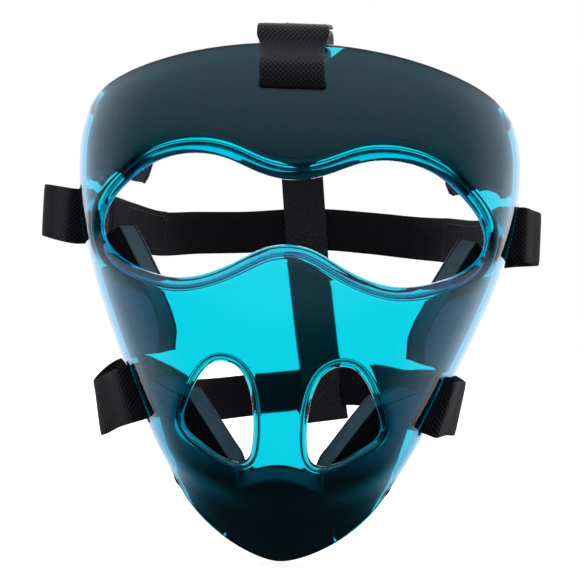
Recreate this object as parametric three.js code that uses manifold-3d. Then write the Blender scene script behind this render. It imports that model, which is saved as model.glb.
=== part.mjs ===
// A clear moulded face guard with foam pads and a head harness.
// Millimetres, +Z up. The wearer looks along -Y, so the front of the shell is at -Y.
// The origin lies between the temples, in the plane of the rear rim, level with the nose bridge.

import * as THREE from 'three';
import { mergeVertices } from 'three/addons/utils/BufferGeometryUtils.js';
import Module from 'manifold-3d';

const wasm = await Module();
wasm.setup();

// Shell
const maskWidth = 209;
const maskHeight = 228.5;
const maskDepth = 85.5;
const wall = 3;
const lipDepth = 6;
const lipWall = 3;

// Eye opening and the two breathing openings
const eyeSide = 14.5;
const eyeWidth = maskWidth - 2 * eyeSide;
const eyeHeight = 53.5;
const eyeTop = 13;
const noseWidth = 32.6;
const noseHeight = 44.6;
const noseInset = 11.4;
const noseTop = -74;

// Straps
const webWidth = 25;
const webThick = 1.6;
const slotLength = 28;
const slotSide = 1.1;
const hookThick = 0.8;
const hookLength = 50;
const hookMargin = 1.5;
const legStraight = 5;

// Where the straps run
const topShare = 0.2757;
const topHeight = maskHeight * topShare;
const crownSlotShare = 0.1882;
const upperSlotFallShare = 0.0525;
const lowerSlotFallShare = 0.3982;
const upperRearRise = 8.6;
const lowerRearFall = 9.8;
const upperLegInset = 3.5;
const lowerLegInset = 28.5;
const upperLegEnd = 40;
const tabLength = 66;
const upperSlotHeight = -maskHeight * upperSlotFallShare;
const upperRearHeight = upperSlotHeight + upperRearRise;
const lowerSlotHeight = -maskHeight * lowerSlotFallShare;
const lowerRearHeight = lowerSlotHeight - lowerRearFall;
const rearReach = 145;
const lowerLegEnd = 22;
const upperLegHalf = maskWidth / 2 - upperLegInset;
const lowerLegHalf = maskWidth / 2 - lowerLegInset;
const degree = Math.PI / 180;
const slotTilt = 18 * degree;
const upperSlotShare = 0.83;
const lowerSlotShare = 0.70;
const upperBulge = 8;
const lowerBulge = 14;
const crownSlotHeight = maskHeight * crownSlotShare;
const crownTabLength = 56;
const crownLegRise = 14;
const crownLegHeight = topHeight + crownLegRise;
const crownLegReach = 20;
const crownTopRise = 41;
const crownTop = topHeight + crownTopRise;
const crownFall = 74;
const crownLoose = 12;
const crownStand = 9.6;
const crownFront = 2;
const crownFrontShare = 0.62;
const spineTail = 14.2;
const spineEnd = lowerRearHeight - spineTail;

// Pads
const foamThick = 8;
const liningThick = 0.9;
const foreheadFoamThick = 7;
const notchWidth = 32;
const notchMargin = 6.5;
const notchDepth = topHeight - crownSlotHeight + notchMargin;
const padEdgeShare = 0.55;
const padEdgePower = 6;

// Clearances and cuts
const gap = 0.3;
const seatGap = 0.65;
const spineGap = 0.8;
const overrun = 12;

// Faces along each form
const shellCounts = [26, 24];
const lipCounts = [26, 23];
const eyePointCount = 64;
const nosePointCount = 32;
const foreheadCounts = [20, 6];
const sidePadCounts = [5, 8];
const chinCounts = [6, 6];
const bandStepCount = 40;
const turnStepCount = 36;
const tabStepCount = 8;
const lengthStepCount = 400;

// Shell sections from the top edge to the chin, as shares of the depth, height and half width
const stationShares = [
  { front: 0.772, high: topShare, half: 0.890, back: 0.374, backHigh: 0.2363, round: 2.35, drop: 0.0656 },
  { front: 0.865, high: 0.2101, half: 0.962, back: 0.129, backHigh: 0.1882, round: 2.45, drop: 0.0438 },
  { front: 0.912, high: 0.0963, half: 1.000, back: 0.023, backHigh: 0.0875, round: 2.5, drop: 0.0066 },
  { front: 0.930, high: -0.0263, half: 0.986, back: -0.012, backHigh: -0.0350, round: 2.5, drop: 0 },
  { front: 0.971, high: -0.1575, half: 0.914, back: 0.018, backHigh: -0.1575, round: 2.4, drop: 0 },
  { front: 1.000, high: -0.2888, half: 0.804, back: 0.099, backHigh: -0.2757, round: 2.3, drop: 0 },
  { front: 0.971, high: -0.4201, half: 0.684, back: 0.205, backHigh: -0.3851, round: 2.15, drop: 0 },
  { front: 0.836, high: -0.5427, half: 0.589, back: 0.298, backHigh: -0.4639, round: 1.9, drop: 0 },
  { front: 0.620, high: -0.6258, half: 0.517, back: 0.357, backHigh: -0.5205, round: 1.65, drop: 0 },
  { front: 0.368, high: -0.7243, half: 0.456, back: 0.390, backHigh: -0.5602, round: 1.52, drop: 0 },
];

// Half outline of the eye opening, from its top middle round to its bottom middle:
// across as a share of half the width, down as a share of the height
const eyeShares = [
  [0, 0.198], [0.094, 0.178], [0.155, 0.150], [0.239, 0.090], [0.333, 0.026], [0.433, 0],
  [0.539, 0.007], [0.633, 0.041], [0.733, 0.112], [0.822, 0.221], [0.906, 0.336], [0.967, 0.458],
  [1, 0.570], [0.994, 0.665], [0.944, 0.766], [0.850, 0.866], [0.740, 0.935], [0.633, 0.981],
  [0.528, 1], [0.433, 0.976], [0.339, 0.925], [0.250, 0.854], [0.167, 0.772], [0.083, 0.708], [0, 0.695],
];

// Outline of a breathing opening from its top, clockwise on the wearer's left:
// across from the inner edge as a share of the width, down as a share of the height
const noseShares = [
  [0.417, 0], [0.586, 0.022], [0.718, 0.123], [0.831, 0.258], [0.908, 0.392], [0.985, 0.538],
  [1, 0.661], [0.923, 0.740], [0.770, 0.807], [0.540, 0.915], [0.340, 0.986], [0.156, 1],
  [0.055, 0.953], [0.012, 0.807], [0, 0.605], [0.025, 0.381], [0.098, 0.184], [0.218, 0.054],
];

// How many of the eye opening's pairs lie on its upper rim
const eyeUpperCount = 13;

const colours = {
  shell: 0x0fc8dc, foam: 0x2c3a3e, lining: 0x141618, webbing: 0x1b1a1d, elastic: 0x151517, hook: 0x101012,
};

function materialOf(colour, roughness, options = {}) {
  return new THREE.MeshStandardMaterial({ color: colour, roughness, metalness: 0, ...options });
}

const materials = {
  shell: materialOf(colours.shell, 0.08, { transparent: true, opacity: 0.55 }),
  foam: materialOf(colours.foam, 0.95),
  lining: materialOf(colours.lining, 0.9),
  webbing: materialOf(colours.webbing, 0.75),
  elastic: materialOf(colours.elastic, 0.85),
  hook: materialOf(colours.hook, 0.9),
};

const root = new THREE.Group();
const halfWidth = maskWidth / 2;

function addMesh(name, geometry, material) {
  const mesh = new THREE.Mesh(geometry, material);
  mesh.name = name;
  root.add(mesh);
}

// Geometry from a list of points and a list of triangles
function geometryOf(points, triangles) {
  const geometry = new THREE.BufferGeometry();
  const flat = points.flatMap((p) => [p.x, p.y, p.z]);
  geometry.setAttribute('position', new THREE.Float32BufferAttribute(flat, 3));
  geometry.setIndex(triangles.flat());
  return geometry;
}

// The same closed surface with its faces turned so that it encloses a positive volume
function facingOut(points, triangles) {
  let volume = 0;
  for (const [a, b, c] of triangles) {
    volume += points[a].dot(new THREE.Vector3().crossVectors(points[b], points[c]));
  }
  return volume > 0 ? triangles : triangles.map(([a, b, c]) => [a, c, b]);
}

function solidOf(geometry) {
  const bare = geometry.clone();
  bare.deleteAttribute('normal');
  bare.deleteAttribute('uv');
  const merged = mergeVertices(bare);
  return new wasm.Manifold(new wasm.Mesh({
    numProp: 3,
    vertProperties: new Float32Array(merged.attributes.position.array),
    triVerts: new Uint32Array(merged.index.array),
  }));
}

function geometryFrom(solid) {
  const mesh = solid.getMesh();
  const geometry = new THREE.BufferGeometry();
  geometry.setAttribute('position', new THREE.Float32BufferAttribute(mesh.vertProperties, 3));
  geometry.setIndex(Array.from(mesh.triVerts));
  return geometry;
}

// Eases from 0 to 1
function smoothStep(f) {
  return f * f * (3 - 2 * f);
}

// Smooth curve through evenly spaced values, 0 at the first and 1 at the last
function through(values, share) {
  const last = values.length - 1;
  const along = Math.min(Math.max(share, 0), 1) * last;
  const i = Math.min(Math.floor(along), last - 1);
  const f = along - i;
  const p1 = values[i];
  const p2 = values[i + 1];
  const p0 = i > 0 ? values[i - 1] : 2 * p1 - p2;
  const p3 = i + 2 <= last ? values[i + 2] : 2 * p2 - p1;
  return 0.5 * (2 * p1 + (p2 - p0) * f + (2 * p0 - 5 * p1 + 4 * p2 - p3) * f * f
    + (3 * p1 - p0 - 3 * p2 + p3) * f * f * f);
}

const station = {};
for (const key of Object.keys(stationShares[0])) station[key] = stationShares.map((s) => s[key]);

// Outer face of the shell: angle 0 is the middle of the face and +-90 degrees the rear rim,
// down 0 is the top edge and 1 the chin
function shellPoint(angle, down) {
  const round = through(station.round, down);
  const c = Math.abs(Math.cos(angle));
  const s = Math.abs(Math.sin(angle));
  const reach = (c ** round + s ** round) ** (-1 / round);
  const side = reach * s;
  const back = 1 - reach * c;
  const front = -through(station.front, down) * maskDepth;
  const rear = -through(station.back, down) * maskDepth;
  const high = through(station.high, down) * maskHeight;
  const low = through(station.backHigh, down) * maskHeight;
  return new THREE.Vector3(
    Math.sign(angle) * side * through(station.half, down) * halfWidth,
    front + (rear - front) * back,
    high + (low - high) * back - through(station.drop, down) * maskHeight * side * side,
  );
}

const quarter = Math.PI / 2;
const stepAngle = 1e-3;
const halvingCount = 24;

function shellNormal(angle, down) {
  const a = Math.min(Math.max(angle, stepAngle - quarter), quarter - stepAngle);
  const d = Math.min(Math.max(down, stepAngle), 1 - stepAngle);
  const across = shellPoint(a + stepAngle, d).sub(shellPoint(a - stepAngle, d));
  const along = shellPoint(a, d + stepAngle).sub(shellPoint(a, d - stepAngle));
  return across.cross(along).normalize().negate();
}

// A point at a depth under the outer face
function under(angle, down, depth) {
  return shellPoint(angle, down).addScaledVector(shellNormal(angle, down), -depth);
}

// How far down the shell a height is met at an angle; heightOf gives the height at a distance
// from the middle
function downAtHeight(angle, heightOf) {
  let down = 0.5;
  let step = down / 2;
  for (let i = 0; i < halvingCount; i += 1) {
    const p = shellPoint(angle, down);
    down += p.z > heightOf(p.x) ? step : -step;
    step /= 2;
  }
  return down;
}

// Closed sheet between two depths over a grid of angle and down; place gives both for shares u and w
function sheetSolid([columns, rows], place, outerDepth, innerDepth) {
  const points = [];
  const triangles = [];
  const index = (layer, i, j) => layer * (columns + 1) * (rows + 1) + j * (columns + 1) + i;
  for (const depthOf of [outerDepth, innerDepth]) {
    for (let j = 0; j <= rows; j += 1) {
      for (let i = 0; i <= columns; i += 1) {
        const u = i / columns;
        const w = j / rows;
        const at = place(u, w);
        points.push(under(at.angle, at.down, depthOf(u, w)));
      }
    }
  }
  const quad = (a, b, c, d) => triangles.push([a, b, c], [a, c, d]);
  for (let j = 0; j < rows; j += 1) {
    for (let i = 0; i < columns; i += 1) {
      quad(index(0, i, j), index(0, i, j + 1), index(0, i + 1, j + 1), index(0, i + 1, j));
      quad(index(1, i, j), index(1, i + 1, j), index(1, i + 1, j + 1), index(1, i, j + 1));
    }
  }
  for (let i = 0; i < columns; i += 1) {
    quad(index(0, i, 0), index(0, i + 1, 0), index(1, i + 1, 0), index(1, i, 0));
    quad(index(0, i + 1, rows), index(0, i, rows), index(1, i, rows), index(1, i + 1, rows));
  }
  for (let j = 0; j < rows; j += 1) {
    quad(index(0, 0, j + 1), index(0, 0, j), index(1, 0, j), index(1, 0, j + 1));
    quad(index(0, columns, j), index(0, columns, j + 1), index(1, columns, j + 1), index(1, columns, j));
  }
  return geometryOf(points, facingOut(points, triangles));
}

// Closed smooth outline through shares, as points of the front view
function smoothOutline(corners, count) {
  const knots = corners.map(([x, z]) => new THREE.Vector3(x, 0, z));
  const curve = new THREE.CatmullRomCurve3(knots, true, 'centripetal');
  const points = curve.getSpacedPoints(count);
  points.pop();
  return points;
}

const eyeHalf = eyeShares.map(([across, fall]) => [across * eyeWidth / 2, eyeTop - fall * eyeHeight]);
const eyeCorners = [...eyeHalf, ...eyeHalf.slice(1, -1).reverse().map(([x, z]) => [-x, z])];
const eyeOutline = smoothOutline(eyeCorners, eyePointCount);

function noseOutline(side) {
  const corners = noseShares.map(([across, fall]) => [
    side * (noseInset + across * noseWidth),
    noseTop - fall * noseHeight,
  ]);
  return smoothOutline(corners, nosePointCount);
}

// Straight cutter along Y through the outline
function cutterOf(outline) {
  const shape = new THREE.Shape(outline.map((p) => new THREE.Vector2(p.x, p.z)));
  const geometry = new THREE.ExtrudeGeometry(shape, { depth: maskDepth + 2 * overrun, bevelEnabled: false });
  geometry.rotateX(quarter);
  geometry.translate(0, overrun, 0);
  return solidOf(geometry);
}

// The outline moved outward by a distance
function grownOutline(outline, distance) {
  const count = outline.length;
  let turn = 0;
  outline.forEach((a, i) => {
    const b = outline[(i + 1) % count];
    turn += a.x * b.z - b.x * a.z;
  });
  return outline.map((point, i) => {
    const before = outline[(i + count - 1) % count];
    const after = outline[(i + 1) % count];
    const out = new THREE.Vector3(after.z - before.z, 0, before.x - after.x);
    out.multiplyScalar(Math.sign(turn)).normalize();
    return point.clone().addScaledVector(out, distance);
  });
}

// A slot: its middle in the wall, the way through it and its long direction
function slotFrame(angle, down, tilt) {
  const middle = under(angle, down, wall / 2);
  const out = shellNormal(angle, down);
  const side = Math.sign(angle);
  const long = side === 0
    ? new THREE.Vector3(1, 0, 0)
    : new THREE.Vector3(side * Math.sin(tilt), 0, Math.cos(tilt));
  out.addScaledVector(long, -out.dot(long)).normalize();
  return { middle, out, long };
}

function slotCutter({ middle, out, long }) {
  const geometry = new THREE.BoxGeometry(slotLength, webThick + 2 * slotSide, 4 * wall);
  const flat = new THREE.Vector3().crossVectors(out, long);
  const matrix = new THREE.Matrix4().makeBasis(long, flat, out).setPosition(middle);
  return solidOf(geometry.applyMatrix4(matrix));
}

// Angle and down of the shell's side at a height, a share of the way from the middle of the face
// round to the rear rim
function sideAt(side, share, height) {
  const angle = side * share * quarter;
  return { angle, down: downAtHeight(angle, () => height) };
}

const wearerSides = [{ side: -1, tag: 'right' }, { side: 1, tag: 'left' }];
const crownSlot = slotFrame(0, downAtHeight(0, () => crownSlotHeight), 0);
const slots = { upper: {}, lower: {} };
for (const { side, tag } of wearerSides) {
  const upper = sideAt(side, upperSlotShare, upperSlotHeight);
  const lower = sideAt(side, lowerSlotShare, lowerSlotHeight);
  slots.upper[tag] = slotFrame(upper.angle, upper.down, 0);
  slots.lower[tag] = slotFrame(lower.angle, lower.down, slotTilt);
}

function buildShell() {
  const place = (u, w) => ({ angle: (2 * u - 1) * quarter, down: w });
  let solid = solidOf(sheetSolid(shellCounts, place, () => 0, () => wall));
  const lip = solidOf(sheetSolid(lipCounts, place, () => wall / 2, () => lipDepth));
  solid = solid.add(lip.intersect(cutterOf(grownOutline(eyeOutline, lipWall))));
  for (const outline of [eyeOutline, noseOutline(-1), noseOutline(1)]) {
    solid = solid.subtract(cutterOf(outline));
  }
  for (const frame of [crownSlot, ...Object.values(slots.upper), ...Object.values(slots.lower)]) {
    solid = solid.subtract(slotCutter(frame));
  }
  return geometryFrom(solid);
}

// Pads: each is a black backing against the shell, a foam block and a lining toward the face

// Value between the pairs of a table of [down, angle], with straight runs
function alongTable(table, down) {
  const last = table.length - 1;
  let i = 0;
  while (i < last - 1 && down > table[i + 1][0]) i += 1;
  const [d0, a0] = table[i];
  const [d1, a1] = table[i + 1];
  const f = Math.min(Math.max((down - d0) / (d1 - d0), 0), 1);
  return a0 + (a1 - a0) * f;
}

// Inner and outer edges of the pads, as [share down the shell, degrees from the middle]
const cheekInnerShares = [
  [0.377, 41], [0.42, 38.5], [0.457, 36.5], [0.50, 34.5], [0.545, 33.5], [0.575, 35.5], [0.60, 41],
];
const cheekOuterShares = [[0.377, 64], [0.42, 70], [0.50, 73], [0.57, 73], [0.60, 69]];
const jawInnerShares = [
  [0.622, 30], [0.66, 26.5], [0.70, 22.5], [0.757, 14.5], [0.80, 20], [0.86, 27], [0.93, 36],
];
const jawOuterShares = [[0.622, 50], [0.70, 54], [0.76, 57], [0.82, 66], [0.93, 66]];
const chinHalfShares = [[0.757, 12], [0.80, 17.5], [0.86, 24.5], [0.95, 33]];
const cheekLipShare = 0.42;
const chinArchShare = 0.03;
const foreheadSideShare = 0.80;
const foreheadTopShare = 0.035;
const eyeMargin = 6.5;
const foreheadSlotGap = 3.5;
const foreheadSideHeight = upperSlotHeight + slotLength / 2 + foreheadSlotGap;

// Height of the upper rim of the eye opening at a distance from the middle
function eyeRimHeight(x) {
  const upper = eyeHalf.slice(0, eyeUpperCount);
  let i = 0;
  while (i < upper.length - 2 && Math.abs(x) > upper[i + 1][0]) i += 1;
  const f = Math.min((Math.abs(x) - upper[i][0]) / (upper[i + 1][0] - upper[i][0]), 1);
  return upper[i][1] + (upper[i + 1][1] - upper[i][1]) * f;
}

function placeForehead(u, w) {
  const angle = (2 * u - 1) * foreheadSideShare * quarter;
  const low = downAtHeight(angle, (x) => Math.max(eyeRimHeight(x) + eyeMargin, foreheadSideHeight));
  return { angle, down: foreheadTopShare + (low - foreheadTopShare) * w };
}

function placeBetween(inner, outer, side) {
  const top = inner[0][0];
  const bottom = inner[inner.length - 1][0];
  return (u, w) => {
    const down = top + (bottom - top) * w;
    const near = alongTable(inner, down);
    return { angle: side * degree * (near + (alongTable(outer, down) - near) * u), down };
  };
}

function placeChin(u, w) {
  const across = 2 * u - 1;
  const top = chinHalfShares[0][0] + chinArchShare * across * across;
  const bottom = chinHalfShares[chinHalfShares.length - 1][0];
  const down = top + (bottom - top) * w;
  return { angle: across * degree * alongTable(chinHalfShares, down), down };
}

// Thickness share of a pad: full in the middle, drawn in toward its edges
function crownShare(u, w) {
  const across = 1 - (2 * u - 1) ** padEdgePower;
  const along = 1 - (2 * w - 1) ** padEdgePower;
  return padEdgeShare + (1 - padEdgeShare) * across * along;
}

// How far a pad's backing stands in from the outer face: on the wall, or on the lip of the eye
// opening at the top of a cheek pad
const seatedOnWall = () => wall + seatGap;

function seatedOnLip(u, w) {
  const f = Math.min(Math.max((w - cheekLipShare) / cheekLipShare, 0), 1);
  return seatedOnWall() + (lipDepth - wall) * (1 - smoothStep(f));
}

function addPad(name, place, counts, thick, seat, cuts) {
  const backed = (u, w) => seat(u, w) + liningThick;
  const foamInner = (u, w) => backed(u, w) + gap + thick * crownShare(u, w);
  const layers = [
    { tag: 'backing', from: seat, to: backed, material: materials.lining },
    { tag: 'foam', from: (u, w) => backed(u, w) + gap, to: foamInner, material: materials.foam },
    {
      tag: 'lining',
      from: (u, w) => foamInner(u, w) + gap,
      to: (u, w) => foamInner(u, w) + gap + liningThick,
      material: materials.lining,
    },
  ];
  for (const { tag, from, to, material } of layers) {
    let solid = solidOf(sheetSolid(counts, place, from, to));
    for (const cut of cuts) solid = solid.subtract(cut);
    addMesh(`${name}_${tag}`, geometryFrom(solid), material);
  }
}

function notchCutter() {
  const top = shellPoint(0, 0).z;
  const geometry = new THREE.BoxGeometry(notchWidth, maskDepth, 2 * notchDepth);
  geometry.translate(0, -maskDepth / 2 - overrun, top);
  return solidOf(geometry);
}

// Straps

// Closed strip of webbing along a list of points, with a width direction at each
function stripGeometry(path, widthDirections, width, thick) {
  const points = [];
  const triangles = [];
  const last = path.length - 1;
  path.forEach((centre, i) => {
    const before = path[Math.max(i - 1, 0)];
    const after = path[Math.min(i + 1, last)];
    const tangent = after.clone().sub(before).normalize();
    const wide = widthDirections[i].clone();
    wide.addScaledVector(tangent, -wide.dot(tangent)).normalize();
    const flat = new THREE.Vector3().crossVectors(tangent, wide);
    for (const [a, b] of [[-1, -1], [1, -1], [1, 1], [-1, 1]]) {
      points.push(centre.clone().addScaledVector(wide, a * width / 2).addScaledVector(flat, b * thick / 2));
    }
  });
  for (let i = 0; i < last; i += 1) {
    for (let k = 0; k < 4; k += 1) {
      const n = (k + 1) % 4;
      const a = 4 * i + k;
      const b = 4 * i + n;
      triangles.push([a, a + 4, b + 4], [a, b + 4, b]);
    }
  }
  const end = 4 * last;
  triangles.push([0, 1, 2], [0, 2, 3], [end, end + 2, end + 1], [end, end + 3, end + 2]);
  return geometryOf(points, facingOut(points, triangles));
}

// Points at even spacing along a smooth curve through corners
function smoothPath(corners, steps) {
  return new THREE.CatmullRomCurve3(corners, false, 'centripetal').getSpacedPoints(steps);
}

// The part of a path between two lengths from its start
function stretchOf(path, from, to) {
  const curve = new THREE.CatmullRomCurve3(path, false, 'centripetal');
  curve.arcLengthDivisions = lengthStepCount;
  const total = curve.getLength();
  return Array.from(
    { length: tabStepCount + 1 },
    (_, i) => curve.getPointAt((from + (to - from) * i / tabStepCount) / total),
  );
}

// The same path moved sideways, toward the side that toward points to
function shifted(path, wide, distance, toward) {
  return path.map((point, i) => {
    const before = path[Math.max(i - 1, 0)];
    const after = path[Math.min(i + 1, path.length - 1)];
    const flat = new THREE.Vector3().crossVectors(after.clone().sub(before), wide).normalize();
    if (flat.dot(toward) < 0) flat.negate();
    return point.clone().addScaledVector(flat, distance);
  });
}

// The crown strap leaves its turn at this slope, as shares of a step back and up
const crownShares = [
  [0, 0], [0.09, 0.28], [0.22, 0.68], [0.36, 0.92], [0.50, 1], [0.66, 0.87], [0.83, 0.35], [0.93, -0.35],
  [0.985, -1],
];

const up = new THREE.Vector3(0, 0, 1);
const crownLean = new THREE.Vector3(
  0,
  (rearReach - webThick - spineGap + crownLegReach) * crownShares[1][0],
  (crownTop - crownLegHeight) * crownShares[1][1],
).normalize();
const crownUp = new THREE.Vector3(0, -crownLean.z, crownLean.y);
const acrossX = new THREE.Vector3(1, 0, 0);
const layerStep = webThick / 2 + gap + hookThick / 2;

// Half of a band from its end beside the shell round to the middle of the back, as
// shares of the distance from the middle and of the way to the back
const bandShares = [[1, 0], [0.93, 0.26], [0.82, 0.56], [0.64, 0.83], [0.37, 0.97], [0, 1]];

function bandSide(side, legHalf, start, slotHeight, rearHeight) {
  return bandShares.map(([across, back]) => {
    const rise = smoothStep(back);
    return new THREE.Vector3(
      side * across * legHalf,
      start + (rearReach - start) * back,
      slotHeight + (rearHeight - slotHeight) * rise,
    );
  });
}

// A band from one side round the back to the other
function bandPath(legHalf, start, slotHeight, rearHeight) {
  const right = bandSide(-1, legHalf, start, slotHeight, rearHeight);
  const left = bandSide(1, legHalf, start, slotHeight, rearHeight).reverse();
  return smoothPath([...right, ...left.slice(1)], bandStepCount);
}

const bands = {
  upper: {
    legHalf: upperLegHalf, start: upperLegEnd, slotHeight: upperSlotHeight, rearHeight: upperRearHeight,
    tilt: 0, bulge: upperBulge,
  },
  lower: {
    legHalf: lowerLegHalf, start: lowerLegEnd, slotHeight: lowerSlotHeight, rearHeight: lowerRearHeight,
    tilt: slotTilt, bulge: lowerBulge,
  },
};

// The turn of elastic through a side slot and round the rear rim: from the end of its outer leg,
// round the outside, in through the slot and back along the inside
function turnPath(side, tag, level) {
  const band = bands[level];
  const half = bandSide(side, band.legHalf, band.start, band.slotHeight, band.rearHeight);
  const back = half[1].clone().sub(half[0]).normalize();
  const inward = new THREE.Vector3().crossVectors(back, up).normalize();
  if (inward.x * side > 0) inward.negate();
  const outerEnd = half[0].clone().addScaledVector(back, -gap);
  const innerEnd = outerEnd.clone().addScaledVector(inward, 2 * layerStep);
  const { middle, out } = slots[level][tag];
  const outerMouth = middle.clone().addScaledVector(out, wall);
  const innerMouth = middle.clone().addScaledVector(out, -wall);
  const at = (x, y, z) => new THREE.Vector3(side * x, y, z);
  const rim = sideAt(side, 1, band.slotHeight);
  const rimHalf = Math.abs(shellPoint(rim.angle, rim.down).x);
  const rimY = shellPoint(rim.angle, rim.down).y;
  const z = band.slotHeight;
  const outer = rimHalf + band.bulge;
  const inside = Math.abs(innerMouth.x);
  return smoothPath([
    outerEnd,
    outerEnd.clone().addScaledVector(back, -legStraight),
    at((band.legHalf + outer) / 2, (band.start + rimY) / 2, z),
    at(outer, rimY, z),
    at(
      (outer + Math.abs(outerMouth.x)) / 2 + webThick,
      (rimY + outerMouth.y) / 2 - webThick,
      (z + outerMouth.z) / 2,
    ),
    outerMouth.clone().addScaledVector(out, wall),
    outerMouth,
    innerMouth,
    innerMouth.clone().addScaledVector(out, -wall / 2),
    at(inside - wall, innerMouth.y + 2 * wall, innerMouth.z),
    at(
      (inside - wall + Math.abs(innerEnd.x)) / 2 - webThick,
      (innerMouth.y + band.start) / 2 - wall,
      (z + innerMouth.z) / 2,
    ),
    innerEnd.clone().addScaledVector(back, -legStraight),
    innerEnd,
  ], turnStepCount);
}

function addSideStraps() {
  for (const level of ['upper', 'lower']) {
    const band = bands[level];
    const whole = bandPath(band.legHalf, band.start, band.slotHeight, band.rearHeight);
    addMesh(`${level}_band`, stripGeometry(whole, whole.map(() => up), webWidth, webThick), materials.elastic);
    for (const { side, tag } of wearerSides) {
      const turn = turnPath(side, tag, level);
      const tilts = turn.map((p) => {
        const share = Math.min(Math.max((band.start - p.y) / (band.start - slots[level][tag].middle.y), 0), 1);
        return new THREE.Vector3(side * Math.sin(band.tilt * share), 0, Math.cos(band.tilt * share));
      });
      addMesh(`${level}_turn_${tag}`, stripGeometry(turn, tilts, webWidth, webThick), materials.elastic);
      const half = bandSide(side, band.legHalf, band.start, band.slotHeight, band.rearHeight);
      const inward = new THREE.Vector3(-side, 0, 0);
      const tab = shifted(stretchOf(half, 0, tabLength), up, 2 * layerStep, inward);
      const hookPath = stretchOf(half, tabLength - hookLength, tabLength - hookMargin);
      const hook = shifted(hookPath, up, layerStep, inward);
      const tabGeometry = stripGeometry(tab, tab.map(() => up), webWidth, webThick);
      addMesh(`${level}_tab_${tag}`, tabGeometry, materials.elastic);
      addMesh(
        `${level}_hook_${tag}`,
        stripGeometry(hook, hook.map(() => up), webWidth - 2 * hookMargin, hookThick),
        materials.hook,
      );
    }
  }
}

// The webbing turn through the crown slot and over the top edge, from the end of its outer leg
function crownTurn() {
  const { middle, out } = crownSlot;
  const top = shellPoint(0, 0);
  const inTop = under(0, 0, wall);
  const end = new THREE.Vector3(0, -crownLegReach - gap, crownLegHeight);
  const rise = new THREE.Vector3(0, -crownLean.y, -crownLean.z);
  const outerEnd = end.clone().addScaledVector(crownUp, 2 * layerStep);
  const at = (y, z) => new THREE.Vector3(0, y, z);
  const clear = webThick / 2 + 2 * gap;
  return smoothPath([
    outerEnd,
    outerEnd.clone().addScaledVector(rise, legStraight),
    at(top.y + crownLoose, top.z + crownStand),
    at(top.y - crownFront, top.z + crownStand * crownFrontShare),
    at(top.y - crownFront - 2 * clear, top.z - wall),
    middle.clone().addScaledVector(out, wall + 2 * clear).addScaledVector(up, 2 * wall),
    middle.clone().addScaledVector(out, wall),
    middle.clone().addScaledVector(out, -wall),
    middle.clone().addScaledVector(out, -wall - 2 * clear).addScaledVector(up, 2 * wall),
    at(inTop.y + 2 * clear, top.z - wall),
    at(inTop.y + crownLoose, top.z + crownStand - 3 * layerStep),
    end.clone().addScaledVector(rise, legStraight),
    end,
  ], turnStepCount);
}

// The long strap from the crown turn over the head and down the back
function crownPath() {
  const low = new THREE.Vector3(0, -crownLegReach, crownLegHeight);
  const back = rearReach - webThick - spineGap;
  const spineTop = crownTop - crownFall;
  const crowned = crownShares.map(([reach, rise]) => new THREE.Vector3(
    0,
    low.y + (back - low.y) * reach,
    rise >= 0 ? low.z + (crownTop - low.z) * rise : low.z + (low.z - spineTop) * rise,
  ));
  return smoothPath([...crowned, new THREE.Vector3(0, back, 0), new THREE.Vector3(0, back, spineEnd / 2),
    new THREE.Vector3(0, back, spineEnd)], turnStepCount);
}

function addCrownStraps() {
  const turn = crownTurn();
  addMesh('crown_turn', stripGeometry(turn, turn.map(() => acrossX), webWidth, webThick), materials.webbing);
  const strap = crownPath();
  addMesh('crown_strap', stripGeometry(strap, strap.map(() => acrossX), webWidth, webThick), materials.webbing);
  const tab = shifted(stretchOf(strap, 0, crownTabLength), acrossX, 2 * layerStep, up);
  const hookPath = stretchOf(strap, crownTabLength - hookLength, crownTabLength - hookMargin);
  const hook = shifted(hookPath, acrossX, layerStep, up);
  addMesh('crown_tab', stripGeometry(tab, tab.map(() => acrossX), webWidth, webThick), materials.webbing);
  addMesh(
    'crown_hook',
    stripGeometry(hook, hook.map(() => acrossX), webWidth - 2 * hookMargin, hookThick),
    materials.hook,
  );
}

addMesh('shell', buildShell(), materials.shell);
addPad('forehead', placeForehead, foreheadCounts, foreheadFoamThick, seatedOnWall, [notchCutter()]);
for (const { side, tag } of wearerSides) {
  const cheek = placeBetween(cheekInnerShares, cheekOuterShares, side);
  const jaw = placeBetween(jawInnerShares, jawOuterShares, side);
  addPad(`cheek_${tag}`, cheek, sidePadCounts, foamThick, seatedOnLip, []);
  addPad(`jaw_${tag}`, jaw, sidePadCounts, foamThick, seatedOnWall, []);
}
addPad('chin', placeChin, chinCounts, foamThick, seatedOnWall, []);
addSideStraps();
addCrownStraps();

export default root;
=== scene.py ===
import math

import bpy
import numpy as np
from bpy.props import FloatProperty, FloatVectorProperty, PointerProperty
from mathutils import Matrix, Vector, geometry


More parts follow.
